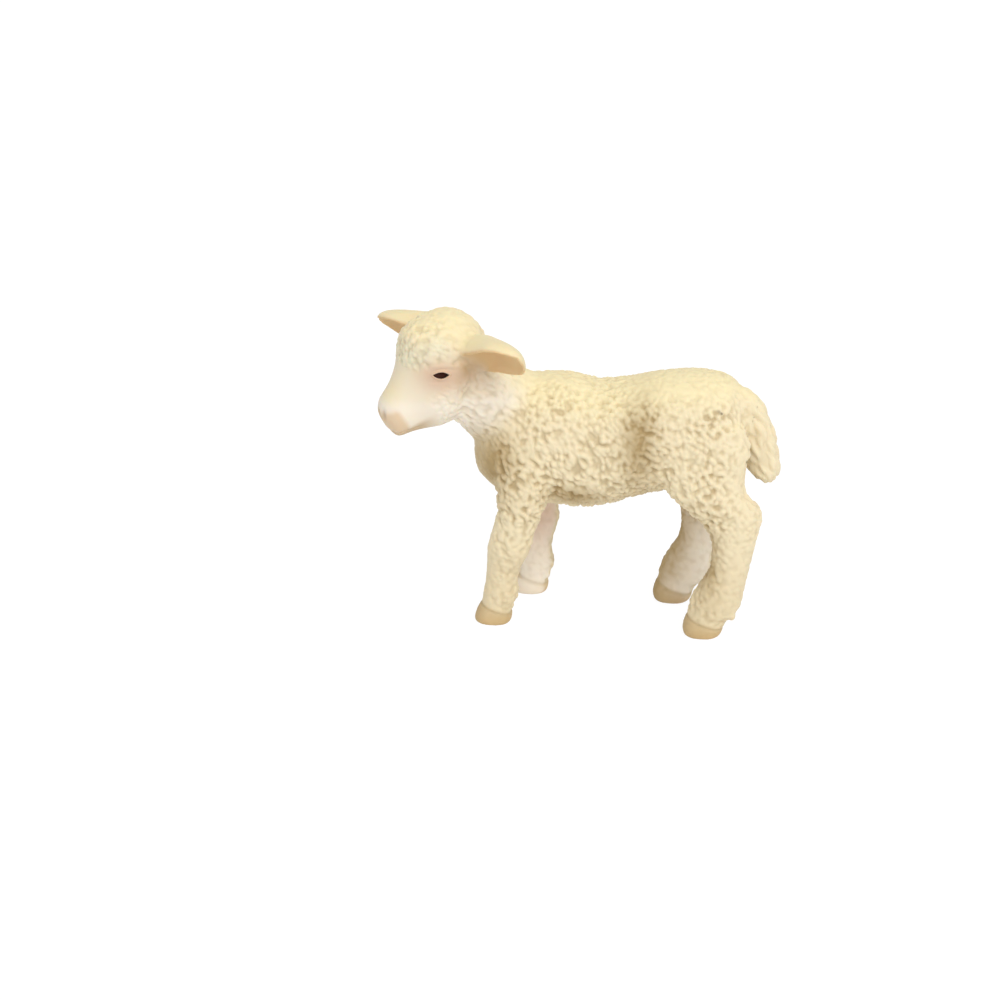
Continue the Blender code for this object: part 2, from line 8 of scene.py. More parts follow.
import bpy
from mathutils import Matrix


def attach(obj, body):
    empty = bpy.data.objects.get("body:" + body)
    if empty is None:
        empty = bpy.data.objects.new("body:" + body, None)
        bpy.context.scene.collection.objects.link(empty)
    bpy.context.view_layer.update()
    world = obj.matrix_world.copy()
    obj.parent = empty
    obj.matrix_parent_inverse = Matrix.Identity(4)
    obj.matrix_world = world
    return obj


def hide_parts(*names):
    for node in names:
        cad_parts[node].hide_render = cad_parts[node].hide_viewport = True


bl_info = {
    "name": "Toy Lamb",
    "version": (1, 0, 0),
    "blender": (4, 5, 0),
    "location": "3D View > Sidebar > Toy Lamb",
    "description": "Builds the skin, eyes and paint of a toy lamb around its solid parts",
    "category": "Object",
}

from math import cos, pi, radians, sin, tau

import bmesh
import bpy
import numpy as np
from mathutils import Matrix, Vector

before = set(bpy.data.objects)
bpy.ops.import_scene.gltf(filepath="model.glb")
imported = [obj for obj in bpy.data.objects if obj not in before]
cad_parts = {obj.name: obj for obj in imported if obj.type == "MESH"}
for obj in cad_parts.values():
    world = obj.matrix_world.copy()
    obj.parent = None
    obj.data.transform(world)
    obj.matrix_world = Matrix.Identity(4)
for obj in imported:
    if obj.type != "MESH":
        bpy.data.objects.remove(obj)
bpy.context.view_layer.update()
ROOT = "root"

X = np.array((1.0, 0.0, 0.0))
Y = np.array((0.0, 1.0, 0.0))
Z = np.array((0.0, 0.0, 1.0))

# Rows from breast to rump: along the length, rise of the centre, half height, half width
TORSO_ROWS = (
    (0.000, -0.17, 0.12, 0.12),
    (0.022, -0.16, 0.44, 0.50),
    (0.085, -0.09, 0.74, 0.78),
    (0.180, -0.02, 0.96, 0.90),
    (0.340, -0.02, 1.03, 0.97),
    (0.440, -0.06, 0.98, 1.01),
    (0.540, 0.02, 0.94, 1.01),
    (0.660, 0.17, 0.92, 0.95),
    (0.770, 0.26, 0.90, 0.91),
    (0.860, 0.28, 0.88, 0.86),
    (0.940, 0.29, 0.76, 0.72),
    (0.985, 0.26, 0.47, 0.44),
    (1.000, 0.24, 0.12, 0.12),
)

# Rows from the neck's base to the head: along the length, half depth, half width
NECK_ROWS = (
    (-0.12, 1.14, 1.20),
    (0.20, 1.15, 1.16),
    (0.50, 1.03, 1.04),
    (0.80, 0.96, 1.00),
    (1.05, 0.90, 0.98),
)

# Rows from the back of the head to the nose: along the length from the skull's centre, rise of
# the centre, half height, half width
HEAD_ROWS = (
    (-0.425, 0.00, 0.10, 0.10),
    (-0.392, 0.00, 0.44, 0.44),
    (-0.285, 0.00, 0.77, 0.79),
    (-0.120, -0.02, 0.94, 0.96),
    (0.028, -0.03, 1.00, 1.00),
    (0.141, -0.20, 1.10, 0.95),
    (0.282, -0.43, 0.88, 0.79),
    (0.423, -0.45, 0.66, 0.58),
    (0.528, -0.43, 0.53, 0.51),
    (0.600, -0.46, 0.44, 0.44),
    (0.640, -0.53, 0.35, 0.31),
    (0.655, -0.55, 0.14, 0.12),
)

# Rows from root to tip: along the length, half width, depth, rise of the spine, and how much of
# the full hollow the cup has there
EAR_ROWS = (
    (0.00, 0.80, 0.86, 0.000, 0.00),
    (0.10, 0.87, 1.08, -0.012, 0.00),
    (0.18, 0.93, 1.28, -0.026, 0.00),
    (0.28, 0.97, 1.41, -0.041, 0.30),
    (0.38, 1.04, 1.35, -0.053, 0.75),
    (0.50, 1.17, 1.20, -0.065, 1.00),
    (0.66, 1.32, 1.00, -0.078, 1.00),
    (0.80, 1.13, 0.78, -0.058, 1.00),
    (0.91, 0.74, 0.56, -0.028, 1.00),
    (0.975, 0.38, 0.34, -0.012, 1.00),
    (1.00, 0.12, 0.14, -0.010, 1.00),
)

# How high each ear's root is on the head's side, its sweep towards the back of the head, its
# droop, and the roll of its open side down, in degrees. 1 is the left ear and -1 the right one.
EAR_TURNS = {1: (-1.5, 23.0, -7.0, 22.0), -1: (-14.0, -27.0, -30.0, 8.0)}
EAR_NAMES = {1: "ear_left", -1: "ear_right"}

# Each ear's seam: its share of the ear's length, and how far its way out leans to the ear's width
# and open side. The right ear's seam leans to stay clear of the head's wool.
EAR_SEAMS = {1: (0.28, 0.0, 0.0), -1: (0.42, -0.255, -0.23)}

# Rows from root to tip: along the torso past the rump, height against the torso's centre height,
# half depth, half width
TAIL_ROWS = (
    (0.920, 1.300, 0.60, 0.66),
    (0.970, 1.262, 0.84, 0.84),
    (1.002, 1.185, 1.00, 0.96),
    (1.024, 1.085, 1.08, 1.00),
    (1.042, 0.980, 1.12, 1.08),
    (1.062, 0.895, 0.94, 0.98),
    (1.071, 0.835, 0.64, 0.66),
    (1.071, 0.805, 0.22, 0.24),
)

# Rows from shoulder to sole: height, set-back of the centre in knee depths, depth, width, spread
# to the side in knee widths, squareness
FRONT_LEG_ROWS = (
    (1.000, 0.02, 1.50, 1.00, -0.10, 2.0),
    (0.850, 0.02, 1.42, 1.14, 0.00, 2.0),
    (0.740, 0.00, 1.20, 1.12, 0.02, 2.0),
    (0.660, -0.05, 1.07, 1.06, 0.04, 2.0),
    (0.570, -0.15, 0.98, 1.02, 0.04, 2.0),
    (0.500, -0.24, 0.97, 0.98, 0.03, 2.1),
    (0.430, -0.30, 0.99, 0.98, 0.02, 2.2),
    (0.360, -0.38, 0.85, 0.88, 0.02, 2.1),
    (0.290, -0.45, 0.74, 0.78, 0.02, 2.0),
    (0.230, -0.48, 0.72, 0.76, 0.02, 2.0),
    (0.185, -0.48, 0.80, 0.84, 0.02, 2.0),
    (0.140, -0.51, 0.79, 0.86, 0.02, 2.0),
    (0.105, -0.57, 0.72, 0.82, 0.02, 2.0),
    (0.080, -0.61, 0.74, 0.85, 0.02, 2.2),
    (0.045, -0.65, 0.80, 0.92, 0.02, 2.4),
    (0.012, -0.67, 0.81, 0.93, 0.02, 2.4),
    (0.000, -0.67, 0.76, 0.87, 0.02, 2.4),
)

# Rows from hip to sole, with the set-back, depth, width and spread in shank depths and widths
HIND_LEG_ROWS = (
    (1.000, 0.00, 1.70, 1.00, -0.22, 2.0),
    (0.885, 0.02, 1.98, 1.26, -0.14, 2.0),
    (0.770, -0.06, 1.94, 1.36, -0.08, 2.0),
    (0.680, 0.04, 1.84, 1.32, -0.03, 2.0),
    (0.622, 0.38, 1.82, 1.22, 0.00, 2.1),
    (0.572, 0.56, 1.58, 1.10, 0.02, 2.2),
    (0.517, 0.67, 1.22, 1.00, 0.02, 2.2),
    (0.454, 0.70, 1.02, 0.92, 0.02, 2.1),
    (0.342, 0.65, 0.92, 0.86, 0.02, 2.0),
    (0.288, 0.56, 0.97, 0.90, 0.02, 2.0),
    (0.204, 0.40, 1.14, 1.02, 0.02, 2.0),
    (0.160, 0.33, 1.20, 1.08, 0.02, 2.0),
    (0.115, 0.27, 1.14, 1.08, 0.02, 2.0),
    (0.078, 0.14, 0.98, 1.03, 0.02, 2.2),
    (0.040, 0.06, 0.94, 1.06, 0.02, 2.4),
    (0.010, 0.04, 0.86, 1.00, 0.02, 2.4),
    (0.000, 0.03, 0.78, 0.92, 0.02, 2.4),
)

# The legs in order: whether it is a front leg, and 1 on the right or -1 on the left
LEGS = ((True, -1), (True, 1), (False, -1), (False, 1))

# How far round its point each kind of seam is scored
SEAM_REACH = {"leg": 0.0066, "head": 0.0085, "ear": 0.0052, "tail": 0.0075}

# How far the head reaches round its middle, an ear round its line and past its seam, and the
# tail to the sides. The tail ends at its low height, and the feet are below their top.
HEAD_REACH = 0.0130
EAR_REACH = 0.0042
EAR_END = 0.0075
TAIL_REACH = 0.0034
TAIL_LOW = 0.0172
FOOT_TOP = 0.0045

# Half the height, depth and width of a dewclaw, its height up the leg and how far it sinks in
DEWCLAW_HALF_AXES = (0.00075, 0.00045, 0.00050)
DEWCLAW_HEIGHT_SHARE = 0.115
DEWCLAW_SINK = 0.00015

# How high the gap between the toes ends at the heel, of the hoof's height
CLEFT_FALL_SHARE = 0.85

# The middle of the blush on the inside of a front leg
INSIDE_LEG = (-0.0060, 0.0030, 0.0110)

# How often the blended skin and the finer one are relaxed
BLEND_PASSES = 81
FINE_PASSES = 5

# How far each sculpted detail moves the skin out
MOULDING = {
    "bed": -0.00024, "socket": -0.00014, "crease": -0.00005, "overhang": 0.00007,
    "lower_lid": -0.00004, "nostril": -0.00012, "nostril_wing": 0.00002, "lips": -0.00012,
    "nose_pad": 0.00005, "hair_line": -0.00010, "hoof": 0.00006,
}

# The lip line: shares along the head, and its rise at each
LIP_SHARES = (0.42, 0.52, 0.60, 0.65)
LIP_RISES = (-0.0045, -0.0040, -0.0036, -0.0037)

# Each kind of wool: the way its lumps lie, their pitch against the wool's own, how far they
# stretch along the lie, and the seed of their places. The head's way is in the head's own axes.
FLANK_LIE = (0.55, -0.10, -0.83)
WOOL = {
    "coarse": (FLANK_LIE, 1.0, 1.45, 3),
    "bubbly": (FLANK_LIE, 1.05, 1.2, 4),
    "fine": ((-0.30, 0.25, -0.90), 1.1, 1.5, 5),
    "soft": (FLANK_LIE, 1.15, 1.2, 6),
    "tufts": ((0.45, 0.10, -0.88), 1.35, 2.6, 8),
}

# The height of the wool that stays where the smooth skin was
RAISED = 0.74

# Seeds and spans of the hills that vary the wool's depth and the tan in its pits
BROAD_SEED, BROAD_SPAN = 12, 0.0034
PATCHY_SEED, PATCHY_SPAN = 21, 0.0042

# How much of the wool's depth is lost over each mask
THINNING = {
    "back": 0.72, "breast": 0.75, "nape": 0.35, "tail": 0.20, "rump": 0.45, "lower": 0.50,
}

# Painted shade: tan spots in the flank folds, on the breast under the neck, behind the elbows,
# under the belly and on the hind legs' shaded edges: place, reach along X, Y and Z, and strength
SHADE_SPOTS = (
    ((-0.0100, -0.0040, 0.0200), (0.0032, 0.0044, 0.0044), 1.0),
    ((-0.0004, -0.0052, 0.0166), (0.0030, 0.0030, 0.0016), 0.80),
    ((0.0072, -0.0060, 0.0235), (0.0021, 0.0040, 0.0056), 0.80),
    ((0.0072, 0.0060, 0.0235), (0.0019, 0.0040, 0.0056), 0.50),
    ((0.0152, -0.0050, 0.0095), (0.0014, 0.0028, 0.0050), 0.66),
    ((0.0088, 0.0034, 0.0032), (0.0021, 0.0044, 0.0036), 0.72),
    ((0.0106, 0.0034, 0.0080), (0.0021, 0.0040, 0.0042), 0.66),
    ((0.0120, 0.0030, 0.0125), (0.0035, 0.0035, 0.0038), 0.50),
    ((-0.0004, 0.0052, 0.0166), (0.0030, 0.0030, 0.0016), 0.80),
    ((0.0068, 0.0000, 0.0165), (0.0100, 0.0060, 0.0012), 0.35),
)

# Stray paint on the rump: place, reach and strength
FLECKS = (
    ((0.0159, -0.0046, 0.0279), 0.00020, 0.9),
    ((0.0163, -0.0046, 0.0277), 0.00018, 0.9),
)

# How strongly each wash lies over each mask, added up
# The tan is the figure's own paint on the face, ears and hooves. It is painted shade in the folds,
# the lower parts, the tail's and hooves' fronts and before the ears. In the wool's pits it is
# partly its own wash and partly painted shade
TAN_AND_SHADE_WASH = {
    "pit_wash_and_shade": 0.50, "spots": 1.0, "face": 0.09, "low": 0.18, "hollow": 0.04, "ear root": 0.10,
    "ear back": 0.07, "ear front": 0.52, "chin": 0.34, "tail front shade": 0.36, "hoof": 0.22,
    "near hoof": 0.24, "hair line": 0.30, "hoof front shade": 0.26,
}
BLUSH_WASH = {
    "ear root": 0.50, "ear front": 0.50, "eye": 0.62, "inside leg": 0.50, "mouth": 0.20,
}
UMBER_WASH = {"nostril": 0.26, "flecks": 1.0, "bare head": 0.03, "cheek": 0.02}

# Each vinyl's name, roughness and softness, by its slot
VINYLS = {
    "wool_vinyl": ("Wool Vinyl", 0.62, 0.10),
    "face_vinyl": ("Face Vinyl", 0.55, 0.25),
    "ear_vinyl": ("Ear Vinyl", 0.58, 0.25),
}

# The paint's layers from the first to the last
LAYERS = ("Milk", "Sage", "Butter", "Blush", "Horn", "Tan", "Umber", "Eye")

# How far an eye's ball sits in and down from the middle of the lids, and its half length, half
# height and half depth
EYE_SINK = 0.00058
EYE_DROP = 0.00002
EYE_HALF_AXES = (0.00090, 0.00052, 0.00048)

# Soft suns: name, spread in degrees and the way to it
SUNS = (("Key", 34.0, (0.42, -0.50, 0.76)), ("Front", 70.0, (0.10, -0.95, 0.10)))

# The point that the camera looks at
VIEW_TARGET = (-0.009362, 0.006094, 0.011632)


def length(name, description, default):
    return bpy.props.FloatProperty(
        name=name, description=description, default=default, unit="LENGTH", precision=6
    )


def share(name, description, default):
    return bpy.props.FloatProperty(name=name, description=description, default=default)


def turn(name, description, default):
    return bpy.props.FloatProperty(
        name=name, description=description, default=radians(default), subtype="ANGLE"
    )


def colour(name, description, default):
    return bpy.props.FloatVectorProperty(
        name=name, description=description, default=default, size=3, subtype="COLOR",
        min=0.0, max=1.0,
    )


class LambBody(bpy.types.PropertyGroup):
    """Sizes of the torso, neck, tail and legs."""

    figure_x: length("Figure X", "Shift of the figure over its origin", 0.00096)
    figure_y: length("Figure Y", "Shift of the figure over its origin", 0.0024)
    torso_length: length("Torso length", "From breast to rump", 0.0318)
    torso_front_x: length("Breast X", "Where the breast starts", -0.0127)
    torso_centre_height: length("Torso height", "Height of the torso's middle", 0.0219)
    torso_half_height: length("Torso half height", "Half the height at the ribs", 0.0077)
    torso_half_width: length("Torso half width", "Half the width at the ribs", 0.0068)
    torso_squareness: share("Torso squareness", "2 is an ellipse", 2.08)
    neck_length: length("Neck length", "From its base to the head", 0.0118)
    neck_pitch: turn("Neck pitch", "Rise of the neck", 41.0)
    neck_yaw: turn("Neck yaw", "Turn of the neck to the left", 19.0)
    neck_half_depth: length("Neck half depth", "Half its depth", 0.0048)
    neck_half_width: length("Neck half width", "Half its width", 0.0042)
    neck_base_along_share: share("Neck base", "Of the torso's length", 0.210)
    neck_base_rise_share: share("Neck base rise", "Of the torso's half height", 0.12)
    neck_seam_share: share("Neck seam", "Of the neck's length", 0.52)
    tail_half_width: length("Tail half width", "Half its width", 0.0019)
    tail_half_depth: length("Tail half depth", "Half its depth", 0.0020)
    shoulder_height: length("Shoulder height", "Top of the front legs", 0.0220)
    hip_height: length("Hip height", "Top of the hind legs", 0.0260)
    front_leg_along_share: share("Front leg along", "Of the torso's length", 0.1981)
    hind_leg_along_share: share("Hind leg along", "Of the torso's length", 0.8585)
    leg_spread: length("Leg spread", "From the middle to each leg", 0.0044)
    knee_depth: length("Knee depth", "Depth of a front leg at the knee", 0.0052)
    knee_width: length("Knee width", "Width of a front leg at the knee", 0.0043)
    shank_depth: length("Shank depth", "Depth of a hind leg's shank", 0.0050)
    shank_width: length("Shank width", "Width of a hind leg's shank", 0.0042)
    right_front_step: length("Front step", "How far the right front leg trails", 0.0031)
    right_hind_step: length("Hind step", "How far the right hind leg trails", -0.0044)
    front_step_span_share: share("Front step span", "Of the leg's height", 0.92)
    hind_step_span_share: share("Hind step span", "Of the leg's height", 0.42)
    front_seam_share: share("Front seam", "Of the shoulder's height", 0.615)
    hind_seam_share: share("Hind seam", "Of the hip's height", 0.585)
    hoof_height: length("Hoof height", "From the sole to the hair line", 0.0017)
    cleft_width: length("Cleft width", "Gap between the toes in front", 0.00085)
    cleft_end_width: length("Cleft end", "Gap between the toes at the heel", 0.00025)
    cleft_reach_share: share("Cleft reach", "Of the hoof's length", 0.66)


class LambHead(bpy.types.PropertyGroup):
    """Sizes of the head, eyes, nose and ears."""

    head_length: length("Head length", "Its rows are shares of this", 0.0142)
    head_half_height: length("Head half height", "Half the skull's height", 0.0053)
    head_half_width: length("Head half width", "Half the skull's width", 0.0051)
    head_pitch: turn("Head pitch", "How far the nose points down", 31.0)
    head_yaw: turn("Head yaw", "Turn of the head to the left", 37.0)
    head_ahead_share: share("Head ahead", "Of the head's length past the neck", 0.067)
    head_lift_share: share("Head lift", "Of its half height over the neck", 0.56)
    head_squareness: share("Head squareness", "2 is an ellipse", 2.1)
    eye_length: length("Eye length", "Corner to corner", 0.0018)
    eye_height: length("Eye height", "Lid to lid", 0.00076)
    eye_along_share: share("Eye along", "Of the head's length", 0.126)
    eye_angle: turn("Eye angle", "Height of the eye on the head's side", 17.2)
    eye_slant: turn("Eye slant", "Slant of the eye against the head", 36.0)
    lid_height: length("Lid height", "How far the lids stand out", 0.00016)
    ear_length: length("Ear length", "Root to tip", 0.0096)
    ear_half_width: length("Ear half width", "Half its width", 0.00244)
    ear_depth: length("Ear depth", "Depth of the cup outside", 0.0025)
    ear_wall: length("Ear wall", "Thickness at the spine", 0.0009)
    ear_wall_share: share("Ear wall share", "Most of the depth that the wall takes", 0.7)
    ear_rim: length("Ear rim", "Thickness at the edge", 0.00042)
    ear_root_along_share: share("Ear root", "Of the head's length", -0.123)
    ear_root_sink: length("Ear sink", "How deep the ear starts in the head", 0.0018)


class LambFinish(bpy.types.PropertyGroup):
    """Fineness of the skin, the wool's relief and the paint."""

    voxel: length("Skin fineness", "Edge of the skin's facets", 0.00015)
    wool_pitch: length("Wool pitch", "From one lump of wool to the next", 0.00084)
    wool_depth: length("Wool depth", "Depth of the wool's relief", 0.00052)
    cream: colour("Cream", "Main colour of the wool", (0.83, 0.715, 0.485))
    # Painted highlight: a lighter yellow on the tops that face up to the key light and on the ears'
    # backs
    butter: colour("Butter", "Sunlit top of the back", (0.89, 0.77, 0.47))
    # Milk is also laid on the lower legs' inner faces, partly their pale paint and partly painted
    # light that lifts the shade between the legs
    milk: colour("Milk", "Face, cheeks and the inner legs", (0.92, 0.84, 0.71))
    sage: colour("Sage", "Cool tint of the wool on the forehead", (0.80, 0.74, 0.54))
    # Tan: partly the figure's own paint, partly painted shade in folds, pits, low parts and sides
    # away from the key light
    tan: colour("Tan", "Wash in folds and creases", (0.42, 0.30, 0.14))
    blush: colour("Blush", "Round the eyes and in the ears", (0.62, 0.33, 0.22))
    horn: colour("Horn", "Hooves, nose and the ears' hollows", (0.73, 0.49, 0.225))
    umber: colour("Umber", "Nostrils and specks", (0.10, 0.065, 0.035))
    eye_brown: colour("Eye brown", "Eyes", (0.016, 0.005, 0.003))


class LambStage(bpy.types.PropertyGroup):
    """Floor, lights and camera."""

    floor_size: length("Floor size", "Edge of the floor", 4.0)
    floor_drop: length("Floor drop", "How far the floor lies under the soles", 0.00002)
    key_strength: share("Key strength", "Of the soft key light", 1.10)
    front_strength: share("Front strength", "Of the broad light beside the camera", 0.67)
    fill_strength: share("Fill strength", "Of the light from all round", 0.68)
    view_distance: length("Camera distance", "From the point looked at", 0.3581)
    view_azimuth: turn("Camera azimuth", "Turn round the figure", 8.5)
    view_elevation: turn("Camera elevation", "Height over the horizon", 24.0)
    focal_length: share("Focal length", "In millimetres, for a sensor 36 mm wide", 108.36)


def settings():
    """The sizes of the body and the head, the finish and the stage."""
    scene = bpy.context.scene
    return scene.lamb_body, scene.lamb_head, scene.lamb_finish, scene.lamb_stage


def unit(vector):
    return vector / np.linalg.norm(vector, axis=-1, keepdims=True)


def smooth_step(low, high, value):
    """0 below low, 1 above high, and 3t^2 - 2t^3 of the share t of the way between them."""
    t = np.clip((value - low) / (high - low), 0.0, 1.0)
    return t * t * (3 - 2 * t)


def bell(away, reach):
    """exp(-(away / reach)^2): 1 at no distance, and near 0 at twice the reach."""
    return np.exp(-((away / reach) ** 2))


def distance(points, place, reach=1.0):
    """Each point's distance from a place, in reaches, which may differ along X, Y and Z."""
    return np.linalg.norm((points - np.asarray(place)) / np.asarray(reach), axis=-1)


def in_axes(points, axes):
    """The points' metres from a place along each of its ways, where the place is the first axis."""
    offset = points - axes[0]
    return [offset @ way for way in axes[1:]]


def faired(rows, steps):
    """Rows on a Catmull-Rom curve: between rows b and c, with neighbours a and d, the point at
    the share t is b + t/2 (c - a + t (2a - 5b + 4c - d + t (3b - 3c + d - a)))."""
    rows = np.asarray(rows, dtype=float)
    padded = np.vstack([2 * rows[0] - rows[1], rows, 2 * rows[-1] - rows[-2]])
    station = np.arange(steps * (len(rows) - 1) + 1) / steps
    first = np.minimum(station.astype(int), len(rows) - 2)
    t = (station - first)[:, None]
    a, b, c, d = (padded[first + k] for k in range(4))
    return b + t / 2 * (c - a + t * (2 * a - 5 * b + 4 * c - d + t * (3 * (b - c) + d - a)))


def rings(centres, sides, ups, squareness, points=48):
    """Superellipses: point (i, k) is centre i + cos(a)^(2/s) side i + sin(a)^(2/s) up i, where a
    is k turns of 1/points, s is the squareness and the powers keep their signs."""
    angle = tau * np.arange(points) / points
    power = 2 / np.broadcast_to(np.asarray(squareness, dtype=float), (len(centres),))[:, None]
    across = np.sign(np.cos(angle)) * np.abs(np.cos(angle)) ** power
    rise = np.sign(np.sin(angle)) * np.abs(np.sin(angle)) ** power
    return centres[:, None] + across[..., None] * sides[:, None] + rise[..., None] * ups[:, None]


def skin_grid(grid):
    """Corners and faces of a closed tube: the grid's rows are rings, quads join each ring to the
    next, and a fan to its middle closes each end."""
    rows, points = grid.shape[:2]
    corner = np.arange(rows * points).reshape(rows, points)
    low, high = corner[:-1], corner[1:]
    quads = np.stack([low, np.roll(low, -1, 1), np.roll(high, -1, 1), high], axis=-1)
    first, last = corner[0], corner[-1]
    start = np.full(points, rows * points)
    fans = [
        np.stack([start, np.roll(first, -1), first], axis=-1),
        np.stack([start + 1, last, np.roll(last, -1)], axis=-1),
    ]
    corners = np.vstack([grid.reshape(-1, 3), grid[0].mean(axis=0), grid[-1].mean(axis=0)])
    return corners, [tuple(f) for f in quads.reshape(-1, 4)] + [tuple(f) for f in np.vstack(fans)]


def ball(centre, half_axes, rows=12, points=24):
    """An ellipsoid: centre + cos(u) axis 0 + sin(u) (cos(v) axis 1 + sin(v) axis 2), with u from
    pole to pole and v round it."""
    u = pi * np.linspace(0.02, 0.98, rows)[:, None, None]
    v = (tau * np.arange(points) / points)[None, :, None]
    a, b, c = (np.asarray(axis) for axis in half_axes)
    return skin_grid(centre + np.cos(u) * a + np.sin(u) * (np.cos(v) * b + np.sin(v) * c))


def tube(centres, rows, side, up, squareness=2.0):
    """A closed tube of superellipses. A row's last two shares are its half height along up and
    its half width along side."""
    return skin_grid(rings(centres, rows[:, -1:] * side, rows[:, -2:-1] * up, squareness))


def mesh_object(name, corners, faces):
    """A mesh object with its faces pointing out."""
    mesh = bpy.data.meshes.new(name)
    mesh.from_pydata([tuple(c) for c in corners], [], faces)
    bm = bmesh.new()
    bm.from_mesh(mesh)
    bmesh.ops.recalc_face_normals(bm, faces=bm.faces)
    bm.to_mesh(mesh)
    bm.free()
    obj = bpy.data.objects.new(name, mesh)
    bpy.context.scene.collection.objects.link(obj)
    return obj


def settle(obj):
    """Turns what an object's modifiers show into its own mesh."""
    graph = bpy.context.evaluated_depsgraph_get()
    graph.update()
    mesh = bpy.data.meshes.new_from_object(obj.evaluated_get(graph))
    obj.modifiers.clear()
    obj.data = mesh
    return obj


def aimed(yaw, pitch):
    """A unit vector that looks along -X, turned to -Y by the yaw and raised by the pitch."""
    return np.array((-cos(yaw) * cos(pitch), -sin(yaw) * cos(pitch), sin(pitch)))


class Pose:
    """The neck's and the head's own places and axes, in the figure's frame before its shift."""

    def __init__(self):
        body, head = settings()[:2]
        self.neck_way = aimed(body.neck_yaw, body.neck_pitch)
        self.neck_side = unit(np.cross(self.neck_way, Z))
        self.neck_up = np.cross(self.neck_side, self.neck_way)
        self.neck_base = np.array((
            body.torso_front_x + body.neck_base_along_share * body.torso_length,
            0.0,
            body.torso_centre_height + body.neck_base_rise_share * body.torso_half_height,
        ))
        self.neck_seam = self.neck_base + body.neck_seam_share * body.neck_length * self.neck_way
        self.ahead = aimed(head.head_yaw, -head.head_pitch)
        self.left = unit(np.cross(Z, self.ahead))
        self.up = np.cross(self.ahead, self.left)
        self.centre = (
            self.neck_base
            + body.neck_length * self.neck_way
            + head.head_ahead_share * head.head_length * self.ahead
            + head.head_lift_share * head.head_half_height * self.up
        )

    def head_point(self, along_share, angle, side):
        """A point on the head's skin, at an angle above its side, and the way out of it."""
        head = settings()[1]
        rows = np.array(HEAD_ROWS)
        rise, high, wide = (np.interp(along_share, rows[:, 0], rows[:, k]) for k in (1, 2, 3))
        high, wide = high * head.head_half_height, wide * head.head_half_width
        point = (
            self.centre
            + along_share * head.head_length * self.ahead
            + side * cos(angle) * wide * self.left
            + (rise * head.head_half_height + sin(angle) * high) * self.up
        )
        return point, unit(side * cos(angle) / wide * self.left + sin(angle) / high * self.up)

    def in_head(self, points):
        """Each point's share along the head, and its metres to the left and above."""
        offset = points - self.centre
        return offset @ self.ahead / settings()[1].head_length, offset @ self.left, offset @ self.up


def over_torso(rows, heights):
    """Points over the torso's line, by the rows' shares of its length and their own heights."""
    body = settings()[0]
    x = body.torso_front_x + rows[:, 0] * body.torso_length
    return np.stack([x, np.zeros(len(rows)), heights], axis=-1)


def torso_form():
    """Superellipses across X, whose middle and half axes follow the torso's rows."""
    body = settings()[0]
    rows = faired(TORSO_ROWS, 4)
    centres = over_torso(rows, body.torso_centre_height + rows[:, 1] * body.torso_half_height)
    side, up = body.torso_half_width * Y, body.torso_half_height * Z
    return tube(centres, rows, side, up, body.torso_squareness)


def neck_form(pose):
    """Ellipses across the neck's line."""
    body = settings()[0]
    rows = faired(NECK_ROWS, 4)
    centres = pose.neck_base + rows[:, :1] * body.neck_length * pose.neck_way
    side, up = body.neck_half_width * pose.neck_side, body.neck_half_depth * pose.neck_up
    return tube(centres, rows, side, up)


def head_form(pose):
    """Superellipses across the head's line, from the back of the skull to the nose."""
    head = settings()[1]
    rows = faired(HEAD_ROWS, 5)
    side, up = head.head_half_width * pose.left, head.head_half_height * pose.up
    centres = pose.centre + rows[:, :1] * head.head_length * pose.ahead + rows[:, 1:2] * up
    return tube(centres, rows, side, up, head.head_squareness)


def tail_form():
    """Ellipses across the tail's line."""
    body = settings()[0]
    rows = faired(TAIL_ROWS, 3)
    centres = over_torso(rows, rows[:, 1] * body.torso_centre_height)
    ups = np.cross(Y, unit(np.gradient(centres, axis=0))) * body.tail_half_depth
    return tube(centres, rows, body.tail_half_width * Y, ups)


def leg_sizes(front):
    """The front or the hind legs' rows, top, share along the torso, depth, width, trailing step,
    share of the height that the step takes, and share of the top that the seam is at."""
    body = settings()[0]
    if front:
        return (
            FRONT_LEG_ROWS, body.shoulder_height, body.front_leg_along_share, body.knee_depth,
            body.knee_width, body.right_front_step, body.front_step_span_share,
            body.front_seam_share,
        )
    return (
        HIND_LEG_ROWS, body.hip_height, body.hind_leg_along_share, body.shank_depth,
        body.shank_width, body.right_hind_step, body.hind_step_span_share, body.hind_seam_share,
    )


def leg_name(front, side):
    """The name of a leg's node."""
    return ("front" if front else "hind") + "_leg_" + ("right" if side > 0 else "left")


def leg_rows(front, side):
    """Each station's centre, half depth, half width and squareness, from top to sole."""
    body = settings()[0]
    table, top, along, depth, width, step, span, _ = leg_sizes(front)
    rows = faired(table, 3)
    rows[-1, 0] = 0.0
    lean = np.minimum(1.0, (1.0 - rows[:, 0]) / span)
    swing = (step if side > 0 else 0.0) * lean * lean * (3 - 2 * lean)
    centres = np.stack([
        body.torso_front_x + along * body.torso_length + rows[:, 1] * depth + swing,
        side * (body.leg_spread + rows[:, 4] * width),
        rows[:, 0] * top,
    ], axis=-1)
    return centres, rows[:, 2] * depth / 2, rows[:, 3] * width / 2, rows[:, 5]


